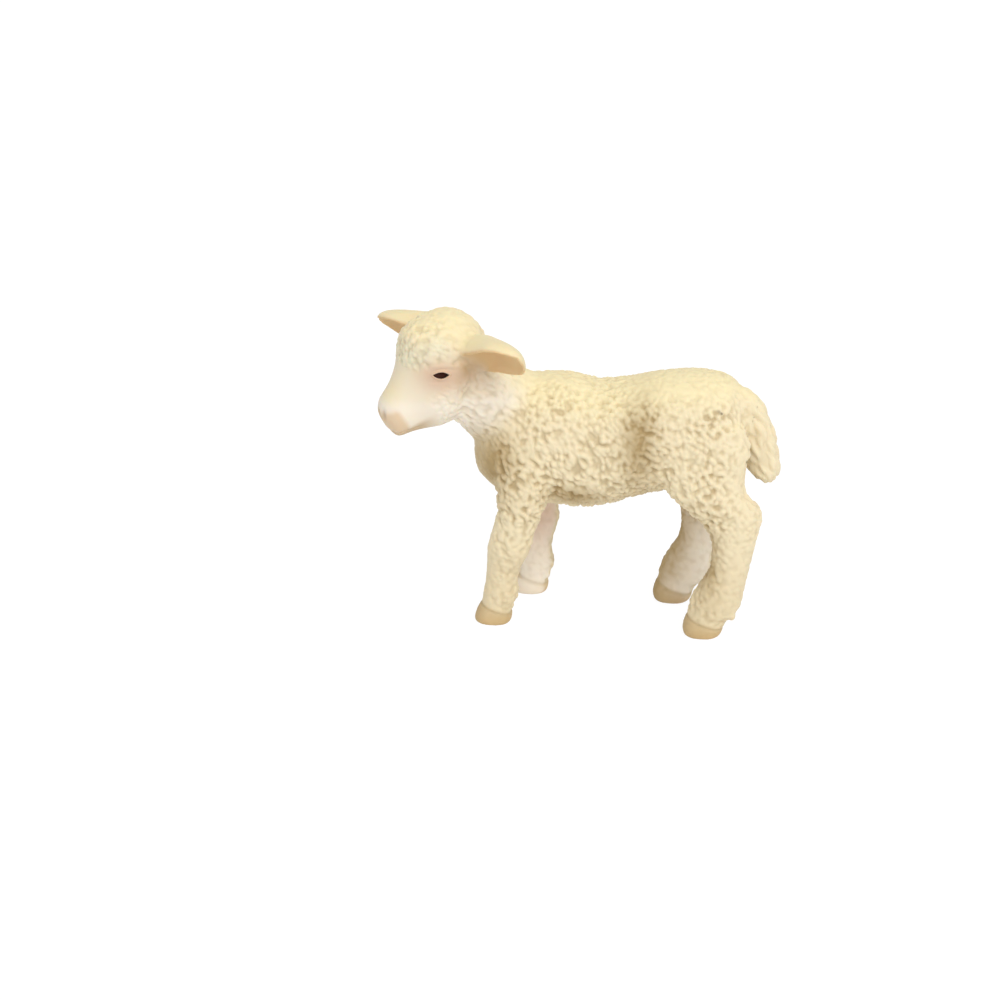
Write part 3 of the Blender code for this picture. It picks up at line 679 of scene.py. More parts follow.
def leg_form(front, side):
    """Superellipses across Z down a leg, less a wedge between its toes."""
    body = settings()[0]
    centres, deep, wide, squareness = leg_rows(front, side)
    grid = rings(centres, deep[:, None] * X, wide[:, None] * Y, squareness)
    leg = mesh_object("leg", *skin_grid(grid))
    x, y = centres[-1, :2]
    overrun = body.hoof_height / 2
    toe = (x - deep[-1] - overrun, body.cleft_width, body.hoof_height)
    reach = 2 * deep[-1] * body.cleft_reach_share
    heel = (x - deep[-1] + reach, body.cleft_end_width, body.hoof_height * CLEFT_FALL_SHARE)
    bm = bmesh.new()
    for along, foot_width, rise in (toe, heel):
        for gap, z in ((foot_width, -overrun), (body.cleft_end_width, rise)):
            for way in (-1, 1):
                bm.verts.new((along, y + way * gap / 2, z))
    bmesh.ops.convex_hull(bm, input=bm.verts)
    wedge = mesh_object("wedge", [], [])
    bm.to_mesh(wedge.data)
    bm.free()
    cut = leg.modifiers.new("Cleft", "BOOLEAN")
    cut.operation = "DIFFERENCE"
    cut.object = wedge
    settle(leg)
    corners = coordinates(leg.data)
    faces = [tuple(p.vertices) for p in leg.data.polygons]
    bpy.data.objects.remove(leg)
    bpy.data.objects.remove(wedge)
    return corners, faces


def dewclaw_forms(front, side):
    """Two small upright balls at the back of the pastern."""
    centres, deep, wide, _ = leg_rows(front, side)
    height = DEWCLAW_HEIGHT_SHARE * leg_sizes(front)[1]
    order = np.argsort(centres[:, 2])
    x, y, half_depth, half_width = (
        np.interp(height, centres[order, 2], column[order])
        for column in (centres[:, 0], centres[:, 1], deep, wide)
    )
    axes = [size * axis for size, axis in zip(DEWCLAW_HALF_AXES, (Z, X, Y))]
    back = half_depth * 0.75 ** 0.5 - DEWCLAW_SINK
    return [
        ball(np.array((x + back, y + way * half_width / 2, height)), axes) for way in (-1, 1)
    ]


def ear_axes(pose, side):
    """The ear's start inside the head, its line, its width and the way its open side faces."""
    head = settings()[1]
    height, sweep, droop, roll = (radians(value) for value in EAR_TURNS[side])
    root = pose.head_point(head.ear_root_along_share, height, side)[0]
    line = cos(droop) * (cos(sweep) * side * pose.left - sin(sweep) * pose.ahead)
    line = line - sin(droop) * pose.up
    opening = unit(pose.ahead - np.dot(pose.ahead, line) * line)
    width = np.cross(line, opening)
    width = width * np.sign(np.dot(width, pose.up))
    turned_opening = cos(roll) * opening - sin(roll) * width
    turned_width = cos(roll) * width + sin(roll) * opening
    return root - head.ear_root_sink * line, line, turned_width, turned_opening


def ear_form(pose, side):
    """A cupped leaf: point (i, a) is spine i + half width cos(a) across - depth sin(a) back, and
    comes home along a shallower half ellipse, which is the hollow."""
    head = settings()[1]
    root, line, width, opening = ear_axes(pose, side)
    rows = faired(EAR_ROWS, 4)
    angle = pi * np.arange(25) / 24
    across = rows[:, 1:2] * head.ear_half_width
    deep = rows[:, 2:3] * head.ear_depth
    rim = np.minimum(head.ear_rim, across / 3)
    thin = np.minimum(head.ear_wall, deep * head.ear_wall_share)
    wall = deep - np.clip(rows[:, 4:5], 0, 1) * (deep - thin)
    spine = root + rows[:, :1] * head.ear_length * line + rows[:, 3:4] * head.ear_length * width
    over = np.concatenate([across * np.cos(angle), (across - rim) * np.cos(angle[::-1])], axis=1)
    back = np.concatenate([
        -deep * np.sin(angle), rim / 3 - (deep - wall) * np.sin(angle[::-1])
    ], axis=1)
    return skin_grid(spine[:, None] + over[..., None] * width + back[..., None] * opening)


def coordinates(mesh):
    """A mesh's corners, one in each row."""
    corners = np.empty(len(mesh.vertices) * 3)
    mesh.vertices.foreach_get("co", corners)
    return corners.reshape(-1, 3)


class Skin:
    """The figure's surface as arrays: its corners and the way out at each."""

    def __init__(self, obj):
        self.obj = obj
        self.read()

    def read(self):
        """Takes the corners over from the mesh."""
        self.points = coordinates(self.obj.data)
        self.find_normals()

    def find_normals(self):
        """Gives the mesh its corners and takes the ways out over from it."""
        mesh = self.obj.data
        mesh.vertices.foreach_set("co", self.points.astype(np.float32).ravel())
        mesh.update()
        normals = np.empty(len(mesh.vertices) * 3)
        mesh.vertex_normals.foreach_get("vector", normals)
        self.normals = normals.reshape(-1, 3)

    def relax(self, weight, passes):
        """Each pass moves a corner by its weight towards the mean of its neighbours. The
        weights go to the Smooth modifier in steps of 1/40."""
        steps = np.rint(weight * 40).astype(int)
        group = self.obj.vertex_groups.new(name="loose")
        for step in np.unique(steps[steps > 0]):
            group.add(np.flatnonzero(steps == step).tolist(), step / 40, "REPLACE")
        smooth = self.obj.modifiers.new("Smooth", "SMOOTH")
        smooth.factor = 1.0
        smooth.iterations = passes
        smooth.vertex_group = group.name
        settle(self.obj)
        self.obj.vertex_groups.clear()
        self.read()

    def push(self, move):
        """Moves each corner out along its normal."""
        self.points += move[:, None] * self.normals
        self.find_normals()


class Noise:
    """Seeded noise over space: hills, and the distance to scattered spots."""

    def __init__(self, seed):
        source = np.random.default_rng(seed)
        self.seed = seed * 7919
        self.ways = unit(source.normal(size=(1024, 3))).astype(np.float32)
        self.spots = source.random((1024, 3)).astype(np.float32)

    def pick(self, cell):
        """A number from 0 to 1023 for each whole cell of space, by mixing its three counts."""
        x, y, z = cell.T
        mixed = (x * 73856093) ^ (y * 19349663) ^ (z * 83492791) ^ self.seed
        mixed = (mixed ^ (mixed >> 13)) * 1274126177
        return (mixed >> 11) & 1023

    def hills(self, points):
        """Gradient noise from about -0.8 to 0.8: at each corner of the cell, the slope there
        times the way to the point, mixed by 6t^5 - 15t^4 + 10t^3 of the shares of the way."""
        cell = np.floor(points).astype(np.int64)
        t = (points - cell).astype(np.float32)
        fade = t * t * t * (t * (6 * t - 15) + 10)
        total = np.zeros(len(points))
        for i, j, k in np.ndindex(2, 2, 2):
            slope = self.ways[self.pick(cell + (i, j, k))]
            away = t - np.array((i, j, k), dtype=np.float32)
            share_here = np.where((i, j, k), fade, 1 - fade).prod(axis=1)
            total += share_here * np.einsum("ij,ij->i", slope, away)
        return total * 1.6

    def to_spots(self, points, sharpness=10.0):
        """The soft distance to the nearest scattered spot: -log(sum(exp(-k d))) / k over the
        distances d to the spots of the 27 cells around."""
        cell = np.floor(points).astype(np.int64)
        t = (points - cell).astype(np.float32)
        total = np.zeros(len(points))
        for i, j, k in np.ndindex(3, 3, 3):
            shift = np.array((i - 1, j - 1, k - 1))
            gap = t - self.spots[self.pick(cell + shift)] - shift.astype(np.float32)
            total += np.exp(-sharpness * np.sqrt(np.einsum("ij,ij->i", gap, gap)))
        return -np.log(total) / sharpness


def wool_lumps(points, chosen, lie, pitch, stretch, seed):
    """The height of lumpy wool at chosen corners, from 0 in its creases to 1 on its lumps.

    The points are warped by hills, shrunk along the lie by the stretch, and measured in
    pitches. The height there falls with the distance to the nearest of the scattered lumps, has
    hills added, more of them far from the lumps, and is raised to a power below 1, which rounds
    the tops."""
    height = np.ones(len(points))
    points = points[chosen]
    noise = Noise(seed)
    coarse = points / (2.4 * pitch)
    warp = np.stack([noise.hills(coarse + shift) for shift in (0.0, 31.3, 67.9)], axis=-1)
    warped = points + 0.3 * pitch * warp
    along = (warped @ lie)[:, None]
    scaled = (warped - (1 - 1 / stretch) * along * lie) / pitch
    fall = 1.6 * noise.to_spots(scaled * 1.6 + 5.0)
    cords = noise.hills(scaled * 1.5 + 11.7)
    height[chosen] = np.clip(1.25 - fall + (0.38 + 0.12 * fall) * cords, 0.0, 1.0) ** 0.68
    return height


def joined_forms(pose):
    """All the figure's forms as one object: torso, neck, head, tail, legs, dewclaws and ears."""
    forms = [torso_form(), neck_form(pose), head_form(pose), tail_form()]
    for leg in LEGS:
        forms += [leg_form(*leg), *dewclaw_forms(*leg)]
    forms += [ear_form(pose, side) for side in (-1, 1)]
    corners, faces, start = [], [], 0
    for form_corners, form_faces in forms:
        corners.append(form_corners)
        faces += [tuple(k + start for k in face) for face in form_faces]
        start += len(form_corners)
    return mesh_object("lamb_skin", np.vstack(corners), faces)


def written_back(bm, obj):
    """Gives an object its edited mesh, with no face of more than four corners."""
    bmesh.ops.triangulate(bm, faces=[f for f in bm.faces if len(f.verts) > 4])
    bm.to_mesh(obj.data)
    bm.free()


def refine(obj, chosen):
    """Halves the edges whose two ends are chosen."""
    bm = bmesh.new()
    bm.from_mesh(obj.data)
    ends = np.empty(len(obj.data.edges) * 2, dtype=np.int64)
    obj.data.edges.foreach_get("vertices", ends)
    bm.edges.ensure_lookup_table()
    edges = [bm.edges[k] for k in np.flatnonzero(chosen[ends.reshape(-1, 2)].all(axis=1))]
    bmesh.ops.subdivide_edges(bm, edges=edges, cuts=1, use_grid_fill=True)
    written_back(bm, obj)


def score(obj, planes):
    """Runs an edge loop round the skin along each plane, within reach of the plane's point."""
    corners = coordinates(obj.data)
    bm = bmesh.new()
    bm.from_mesh(obj.data)
    for place, way, reach in planes:
        bm.verts.ensure_lookup_table()
        close = np.flatnonzero(distance(corners, place) < reach)
        faces = {f for k in close for f in bm.verts[k].link_faces}
        near = faces | {e for f in faces for e in f.edges} | {v for f in faces for v in f.verts}
        bmesh.ops.bisect_plane(bm, geom=list(near), dist=1e-6, plane_co=place, plane_no=way)
    written_back(bm, obj)


def seams(pose):
    """Each seam's point, its way out of the torso or head, and its reach round the point."""
    body, head = settings()[:2]
    planes = {}
    for front, side in LEGS:
        height = leg_sizes(front)[1] * leg_sizes(front)[-1]
        centres = leg_rows(front, side)[0]
        x = np.interp(height, centres[::-1, 2], centres[::-1, 0])
        place = np.array((x, side * body.leg_spread, height))
        planes[leg_name(front, side)] = (place, -Z, SEAM_REACH["leg"])
    planes["head"] = (pose.neck_seam, pose.neck_way, SEAM_REACH["head"])
    for side in (-1, 1):
        root, line, width, opening = ear_axes(pose, side)
        along, to_width, to_opening = EAR_SEAMS[side]
        way = unit(line + to_width * width + to_opening * opening)
        place = root + along * head.ear_length * line
        planes[EAR_NAMES[side]] = (place, way, SEAM_REACH["ear"])
    body_end = body.torso_front_x + body.torso_length
    root = np.array((body_end - 0.0001, 0.0, 1.06 * body.torso_centre_height))
    planes["tail"] = (root, unit(np.array((1.0, 0.0, -0.25))), SEAM_REACH["tail"])
    return planes


def eye_axes(pose, side):
    """The eye's middle on the skin, its long way to the front corner, its short way up and the
    way out."""
    head = settings()[1]
    point, out = pose.head_point(head.eye_along_share, head.eye_angle, side)
    along = unit(pose.ahead - np.dot(pose.ahead, out) * out)
    across = np.cross(out, along)
    across = across * np.sign(np.dot(across, pose.up))
    long_way = cos(head.eye_slant) * along + sin(head.eye_slant) * across
    short_way = cos(head.eye_slant) * across - sin(head.eye_slant) * along
    return point, long_way, short_way, out


def nostril_axes(pose, side):
    """The nostril's place, its long way, its short way and the way out."""
    point, out = pose.head_point(0.636, radians(66.0), side)
    along = unit(pose.ahead - np.dot(pose.ahead, out) * out)
    long_way = unit(along + np.cross(out, along) * side)
    return point, long_way, np.cross(out, long_way), out


def leg_side(points):
    """True on the front legs and True on the right legs, by place."""
    body = settings()[0]
    along = (body.front_leg_along_share + body.hind_leg_along_share) / 2
    middle = body.torso_front_x + along * body.torso_length
    return points[:, 0] < middle, points[:, 1] > 0


class Regions:
    """Shares from 0 to 1 that say where each corner lies on the figure."""

    def __init__(self, pose, points, normals):
        body = settings()[0]
        self.pose, self.points, self.normals = pose, points, normals
        self.height = points[:, 2]
        self.front, self.right = leg_side(points)
        self.share, self.left, self.rise = pose.in_head(points)
        self.past_neck = (points - pose.neck_seam) @ pose.neck_way
        near_head = distance(points, pose.centre) < HEAD_REACH
        self.head = smooth_step(-0.0006, 0.0014, self.past_neck) * near_head
        self.find_ears()
        low = np.where(self.front, body.shoulder_height * 0.62, body.hip_height * 0.60)
        self.leg = (self.height < low) & (self.past_neck < 0)
        self.coronet = self.height - self.coronet_height()
        self.hoof = smooth_step(0.00012, -0.00006, self.coronet)
        end = body.torso_front_x + body.torso_length
        self.tail = smooth_step(end - 0.0003, end + 0.0004, points[:, 0]) * (self.height > 0.0165)
        self.inner = smooth_step(0.25, 0.75, normals[:, 1] * np.where(self.right, -1.0, 1.0))
        cap_end = 0.275 - 0.275 * np.minimum(np.abs(self.left) / 0.00506, 1.15) ** 3
        cap_end = cap_end - 0.05 * smooth_step(0.0012, -0.0016, self.rise)
        self.cap = smooth_step(cap_end + 0.028, cap_end - 0.022, self.share) * self.head
        below = smooth_step(-0.0002, -0.0018, self.rise)
        self.cheek = below * smooth_step(0.36, 0.26, self.share) * self.head
        self.face = self.head * (1 - np.maximum(self.cap, self.cheek))

    def find_ears(self):
        """Each ear's share, with the shares along it and the way that its hollow faces, and the
        skin in front of both roots."""
        ear_length = settings()[1].ear_length
        self.ears = {}
        self.ear_front = np.zeros(len(self.points))
        for side in (-1, 1):
            root, line, width, opening = ear_axes(self.pose, side)
            along, across, out = in_axes(self.points, (root, line, width, opening))
            along = along / ear_length
            on_ear = smooth_step(0.19, 0.30, along) * (along < 1.2)
            on_ear = on_ear * (np.hypot(across, out) < EAR_REACH)
            on_ear = on_ear * smooth_step(0.0036, 0.0028, across) * smooth_step(0.0024, 0.0009, out)
            self.ears[side] = (on_ear, along, opening)
            front = root + 0.24 * ear_length * line + 0.0008 * opening - 0.0009 * width
            near = bell(distance(self.points, front), 0.0025)
            self.ear_front = np.maximum(self.ear_front, near)
        self.ear = np.maximum(self.ears[-1][0], self.ears[1][0])

    def coronet_height(self):
        """The height of the hair line over each hoof, which falls from the toes to the heel."""
        hoof_height = settings()[0].hoof_height
        line = np.zeros(len(self.points))
        for front, side in LEGS:
            centres, deep = leg_rows(front, side)[:2]
            here = (self.front == front) & (self.right == (side > 0))
            share_back = (self.points[:, 0] - centres[-1, 0]) / deep[-1]
            line = np.where(here, hoof_height * (1.02 - 0.36 * share_back), line)
        return line


def in_eye(points, pose, side):
    """Shares of the way to the eye's corner and lid, the second one also from its bowed middle,
    how far inside the lids the point is, and its metres off the skin."""
    head = settings()[1]
    s, t, out = in_axes(points, eye_axes(pose, side))
    s, t = s / (head.eye_length / 2), t / (head.eye_height / 2)
    bowed = t + 0.15 * (1 - s * s)
    return s, t, bowed, 1 - s * s - np.abs(bowed), out


def moulded(**masks):
    """How far the details' masks move the skin out together."""
    return sum(MOULDING[name] * mask for name, mask in masks.items())


def sculpted(regions):
    """How far each corner moves out to form the eyes' beds and lids, the brows, nostrils, lips
    and the hooves' edges."""
    head = settings()[1]
    pose, points, share_along, rise = regions.pose, regions.points, regions.share, regions.rise
    move = np.zeros(len(points))
    for side in (-1, 1):
        s, t, bowed, opening, out = in_eye(points, pose, side)
        near = bell(out, 0.0022) * (regions.normals @ eye_axes(pose, side)[-1] > 0.2)
        bed = smooth_step(-0.04, 0.40, opening)
        lid = bell(opening + 0.30, 0.42) * bell(np.hypot(s * 0.62 ** 0.5, bowed), 2.6)
        brow_line = t - 1.75 + 0.16 * (s + 0.5) ** 2
        brow_span = smooth_step(1.6, 0.4, s) * smooth_step(-3.4, -2.2, s)
        lower_span = smooth_step(1.9, 0.8, s) * smooth_step(-1.9, -0.8, s)
        move += near * head.lid_height * lid * (1 - bed)
        move += near * moulded(
            bed=bed,
            socket=bell(np.hypot(s / 2.3, t / 3.1), 0.8),
            crease=bell(brow_line, 0.42) * brow_span,
            overhang=bell(brow_line - 1.1, 0.8) * brow_span,
            lower_lid=bell(t + 2.3 - 0.12 * s * s, 0.45) * lower_span,
        )
        along, across, out = in_axes(points, nostril_axes(pose, side))
        away = np.hypot(along / 0.00052, across / 0.00020)
        near = bell(out, 0.0009)
        move += near * moulded(nostril=bell(away, 1.0), nostril_wing=bell(away - 2.2, 0.9))
    lips = bell(rise - np.interp(share_along, LIP_SHARES, LIP_RISES), 0.00016)
    pad = smooth_step(0.52, 0.56, share_along) * smooth_step(-0.0036, -0.0032, rise)
    low = regions.height < 0.0040
    return move + moulded(
        lips=lips * smooth_step(0.40, 0.50, share_along) * regions.head,
        nose_pad=pad * regions.head,
        hair_line=bell(regions.coronet, 0.00013) * low,
        hoof=smooth_step(0.0, -0.0003, regions.coronet) * low,
    )


def wool_of(kind, regions, chosen):
    """One kind of wool's height at chosen corners."""
    pose, (lie, pitch, stretch, seed) = regions.pose, WOOL[kind]
    if kind == "fine":
        lie = np.array(lie) @ np.stack([pose.ahead, pose.left, pose.up])
    pitch = pitch * settings()[2].wool_pitch
    return wool_lumps(regions.points, chosen, unit(np.array(lie)), pitch, stretch, seed)


def relief(regions):
    """The wool's height from 0 to 1 and its depth in metres at each corner."""
    x, z, rise, cap = regions.points[:, 0], regions.height, regions.rise, regions.cap
    head, tail = regions.head, regions.tail
    lower = smooth_step(0.0150, 0.0090, z)
    height = wool_of("coarse", regions, (head < 1) & (tail < 1))
    for kind, mask, chosen in (
        ("bubbly", smooth_step(0.004, 0.009, x), x > 0.004),
        ("fine", head, head > 0),
        ("tufts", tail, tail > 0),
        ("soft", lower * (1 - head), lower > 0),
    ):
        height = height + mask * (wool_of(kind, regions, chosen) - height)
    hidden = np.maximum(regions.inner, 0.75 * regions.right)
    masks = {
        "back": smooth_step(0.0272, 0.0300, z) * smooth_step(-0.010, -0.006, x),
        "breast": smooth_step(-0.0088, -0.0105, x) * smooth_step(0.0235, 0.0215, z) * (1 - head),
        "nape": smooth_step(-0.0045, 0.0, regions.past_neck),
        "tail": tail,
        "rump": smooth_step(0.0160, 0.0185, x) * (1 - tail),
        "lower": lower * (1 + hidden / 2),
    }
    broad = Noise(BROAD_SEED).hills(regions.points / BROAD_SPAN)
    depth = (1 - head) * (1 - regions.ear) * (0.95 + 0.30 * broad)
    for name, loss in THINNING.items():
        depth = depth * (1 - loss * masks[name])
    depth = depth * smooth_step(0.0001, 0.0006, regions.coronet)
    behind = smooth_step(-0.04, -0.20, regions.share) * smooth_step(-0.0020, 0.0026, rise)
    crown = np.maximum(smooth_step(0.0046, 0.0060, rise), behind)
    on_head = 0.60 * cap * (1 - 0.62 * crown) + 0.30 * regions.cheek * (1 - cap)
    depth = (depth + head * on_head) * (1 - regions.ear) * (1 - 0.7 * regions.ear_front)
    return height, depth * settings()[2].wool_depth


def washed(strengths, masks):
    """The masks, each at its own strength, added up and kept from 0 to 1."""
    return np.clip(sum(strength * masks[name] for name, strength in strengths.items()), 0, 1)


def washes(regions, height, depth):
    """The paint's layers, each as a mask from 0 to 1."""
    pose, points, normals, z = regions.pose, regions.points, regions.normals, regions.height
    head, face, cheek, rise, along = (
        regions.head, regions.face, regions.cheek, regions.rise, regions.share
    )
    off_ear = 1 - regions.ear
    hollow, ear_root, eyes, nostrils, shade = np.zeros((5, len(points)))
    for side in (-1, 1):
        on_ear, ear_share, opening = regions.ears[side]
        inside = on_ear * smooth_step(-0.25, 0.70, normals @ opening)
        hollow = np.maximum(hollow, inside)
        ear_root = np.maximum(ear_root, inside * smooth_step(0.72, 0.30, ear_share))
        s, t, out = in_axes(points, eye_axes(pose, side))
        around = np.hypot((s - 0.0005) / 0.0026, (t + 0.0003) / 0.0020)
        eyes += bell(around, 1.0) * bell(out, 0.002)
        shade += smooth_step(-0.03, 0.12, in_eye(points, pose, side)[3]) * (np.abs(out) < 0.001)
        s, t, out = in_axes(points, nostril_axes(pose, side))
        nostrils += bell(np.hypot(s / 0.00050, t / 0.00026), 1.0) * bell(out, 0.0009)
    muzzle = head * smooth_step(0.52, 0.57, along) * smooth_step(-0.0004, -0.0012, rise)
    chin = head * smooth_step(-0.0032, -0.0042, rise) * smooth_step(0.30, 0.50, along)
    # Painted shade: the tan grows towards the bottom of the body and the legs
    low = smooth_step(0.0125, 0.0060, z) * (1 - regions.hoof) * (1 - head)
    foot = z < FOOT_TOP
    hoof = smooth_step(0.0006, -0.0005, regions.coronet) * foot
    # Less hoof colour on the front legs' inner faces: partly their pale paint, partly painted light
    # against the shade between the legs
    hoof = hoof * (1 - 0.8 * regions.inner * regions.front)
    near_side = smooth_step(0.0030, 0.0018, points[:, 1])
    wool = np.clip(depth / settings()[2].wool_depth, 0.0, 1.0) * (1 - 0.65 * regions.tail)
    patchy = 0.9 + 0.5 * Noise(PATCHY_SEED).hills(points / PATCHY_SPAN)
    masks = {
        # Tan in the wool's pits: partly the figure's own wash, partly painted shade in the recesses
        "pit_wash_and_shade": smooth_step(0.78, 0.10, height) * wool * patchy,
        # Painted shade in the folds, under the body and on the legs' shaded edges
        "spots": sum(size * bell(distance(points, *at), 1.0) for *at, size in SHADE_SPOTS),
        "flecks": sum(size * bell(distance(points, *at), 1.0) for *at, size in FLECKS),
        "face": face * off_ear,
        "bare head": face,
        "cheek": cheek,
        # Less of the lower painted shade on the legs' inner faces, which are painted lighter
        # against their shade
        "low": low * (1 - 0.8 * regions.inner),
        "hollow": hollow,
        "ear root": ear_root,
        "ear back": regions.ear * (1 - hollow),
        # Painted shade with a pink blush on the head in front of and below each ear's root
        "ear front": regions.ear_front * off_ear,
        "eye": eyes,
        "nostril": nostrils,
        "chin": chin,
        "mouth": np.maximum(muzzle, chin),
        "inside leg": bell(distance(points, INSIDE_LEG), 0.0045) * regions.inner,
        # Painted shade on the tail's side that faces the rump, away from the key light
        "tail front shade": regions.tail * smooth_step(0.1, -0.7, normals[:, 0]),
        "hoof": hoof,
        "near hoof": hoof * near_side,
        "hair line": bell(regions.coronet, 0.00026) * foot,
        # Painted shade on the hooves' sides that face forward, away from the key light
        "hoof front shade": hoof * smooth_step(0.1, -0.9, normals[:, 0]),
    }
    hoof_horn = hoof * (0.42 + 0.30 * smooth_step(0.0016, 0.0002, z)) * (0.85 + 0.25 * near_side)
    horn = np.maximum.reduce([hoof_horn, 0.48 * muzzle, 0.42 * chin, 0.75 * hollow])
    bridge = face * smooth_step(-0.0010, 0.0022, rise)
    milk = face * (0.62 - 0.24 * bridge) + 0.66 * cheek * (1 - face)
    # The lower legs' inner faces turn milk white: partly their pale paint, partly painted light
    # that lifts the shade between the legs
    milk = np.clip(np.maximum(milk, regions.inner * smooth_step(0.0165, 0.0135, z)), 0, 1)
    forehead = regions.cap * smooth_step(0.0056, 0.0030, rise) * smooth_step(0.0, 0.0012, rise)
    forehead = forehead * smooth_step(-0.16, 0.02, along)
    neck = smooth_step(-0.0028, 0.0012, regions.past_neck) * smooth_step(0.031, 0.028, z)
    # Painted highlight: the lit-top yellow on skin that faces up high on the body and on the ears'
    # backs
    lit_from_above = smooth_step(0.25, 0.95, normals[:, 2]) * smooth_step(0.022, 0.029, z)
    return {
        "tan": washed(TAN_AND_SHADE_WASH, masks),
        "blush": washed(BLUSH_WASH, masks),
        "milk": np.maximum(milk, 0.95 * neck * (1 - forehead)) * off_ear,
        "butter": np.clip(np.maximum(lit_from_above * (1 - forehead), 0.6 * masks["ear back"]), 0, 1),
        "sage": forehead * off_ear,
        "horn": np.clip(horn, 0, 1),
        "umber": washed(UMBER_WASH, masks),
        "eye": np.clip(shade, 0, 1),
    }


def whole_skin():
    """The figure's whole skin, sculpted, with its wool: corners, their ways out, triangles, the
    node that owns each, and the paint's masks."""
    pose = Pose()
    obj = joined_forms(pose)
    remesh = obj.modifiers.new("Remesh", "REMESH")
    remesh.mode = "VOXEL"
    remesh.voxel_size = settings()[2].voxel
    settle(obj)
    skin = Skin(obj)
    regions = Regions(pose, skin.points, skin.normals)
    looseness = np.where(regions.head > 0.5, 0.44, 0.5)
    legs = smooth_step(0.0165, 0.0135, regions.height) * regions.leg
    for mask, firmer in ((legs, 0.035), (regions.ear, 0.22), (regions.tail, 0.05)):
        looseness = looseness * (1 - mask) + firmer * mask
    skin.relax(looseness, BLEND_PASSES)
    regions = Regions(pose, skin.points, skin.normals)
    bare = (regions.head > 0.5) & (regions.share > 0.02) & (regions.cap < 0.5)
    refine(obj, bare | (regions.ear > 0.5))
    skin.read()
    detailed = np.zeros(len(skin.points), dtype=bool)
    for side in (-1, 1):
        detailed |= distance(skin.points, eye_axes(pose, side)[0]) < 0.0016
        detailed |= distance(skin.points, nostril_axes(pose, side)[0]) < 0.0009
    refine(obj, detailed)
    score(obj, seams(pose).values())
    skin.read()
    regions = Regions(pose, skin.points, skin.normals)
    skin.relax(0.5 * np.maximum(regions.head, regions.ear), FINE_PASSES)
    skin.push(sculpted(Regions(pose, skin.points, skin.normals)))
    regions = Regions(pose, skin.points, skin.normals)
    height, depth = relief(regions)
    skin.push(depth * (height - RAISED))
    masks = washes(regions, height, depth)
    obj.data.calc_loop_triangles()
    triangles = np.empty(len(obj.data.loop_triangles) * 3, dtype=np.int64)
    obj.data.loop_triangles.foreach_get("vertices", triangles)
    triangles = triangles.reshape(-1, 3)
    owners = owned(skin.points[triangles].mean(axis=1), pose)
    bpy.data.objects.remove(obj)
    return skin.points, skin.normals, triangles, owners, masks


def owned(middles, pose):
    """The node that each triangle belongs to, by the side of each seam that it lies on."""
    owners = np.full(len(middles), "torso", dtype="<U16")
    front, right = leg_side(middles)
    past_neck = (middles - pose.neck_seam) @ pose.neck_way > 0
    ear_sides = {name: side for side, name in EAR_NAMES.items()}
    for name, (place, way, _) in seams(pose).items():
        beyond = (middles - place) @ way > 0
        if "_leg_" in name:
            beyond &= (front == name.startswith("front")) & (right == name.endswith("right"))
            beyond &= ~past_neck
        elif name == "tail":
            beyond &= (middles[:, 2] > TAIL_LOW) & (np.abs(middles[:, 1]) < TAIL_REACH)
        elif name in ear_sides:
            axes = ear_axes(pose, ear_sides[name])
            along, across, out = in_axes(middles, (place, *axes[1:]))
            beyond &= (np.hypot(across, out) < EAR_REACH) & (along < EAR_END)
        owners[beyond] = name
    return owners


SKINS = {}


def skin_parts():
    """The skin, shared by the operators and worked out again when a size has changed."""
    key = tuple(
        (name, tuple(value) if hasattr(value, "__len__") else value)
        for group in settings()[:3]
        for name in group.__annotations__
        for value in [getattr(group, name)]
    )
    if key not in SKINS:
        SKINS.clear()
        SKINS[key] = whole_skin()
    return SKINS[key]


def shifted(points):
    """Points of the figure's own frame, moved over its origin."""
    body = settings()[0]
    return points + np.array((body.figure_x, body.figure_y, 0.0))


def skin_piece(node, slot):
    """The part of the skin that belongs to a node, closed at its seams."""
    points, normals, triangles, owners, masks = skin_parts()
    used, index = np.unique(triangles[owners == node], return_inverse=True)
    name = node + "_skin"
    mesh = bpy.data.meshes.new(name)
    mesh.from_pydata(shifted(points[used]), [], index.reshape(-1, 3).tolist())
    bm = bmesh.new()
    bm.from_mesh(mesh)
    border = [edge for edge in bm.edges if len(edge.link_faces) == 1]
    caps = bmesh.ops.holes_fill(bm, edges=border, sides=0)["faces"]
    bmesh.ops.triangulate(bm, faces=caps)
    bm.to_mesh(mesh)
    bm.free()
    mesh.shade_smooth()
    for label, values in masks.items():
        layer = mesh.attributes.new(label, "FLOAT", "POINT")
        layer.data.foreach_set("value", values[used].astype(np.float32))
    mesh.normals_split_custom_set_from_vertices(normals[used].tolist())
    mesh.materials.append(vinyl(slot))
    piece = bpy.data.objects.new(name, mesh)
    bpy.context.scene.collection.objects.link(piece)
    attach(piece, ROOT)
    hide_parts(node)


def node_group(name, inputs, outputs):
    """An empty shader group with named inputs (kind, default) and outputs (kind)."""
    group = bpy.data.node_groups.new(name, "ShaderNodeTree")
    for label, (kind, default) in inputs.items():
        socket = group.interface.new_socket(label, in_out="INPUT", socket_type=kind)
        socket.default_value = default
    for label, kind in outputs.items():
        group.interface.new_socket(label, in_out="OUTPUT", socket_type=kind)
    return group, group.nodes.new("NodeGroupInput"), group.nodes.new("NodeGroupOutput")


def feed(links, socket, value):
    """Gives a socket a link, a colour or a plain number."""
    if isinstance(value, bpy.types.NodeSocket):
        links.new(value, socket)
    elif hasattr(value, "__len__"):
        socket.default_value = (*value[:3], 1.0)
    else:
        socket.default_value = value


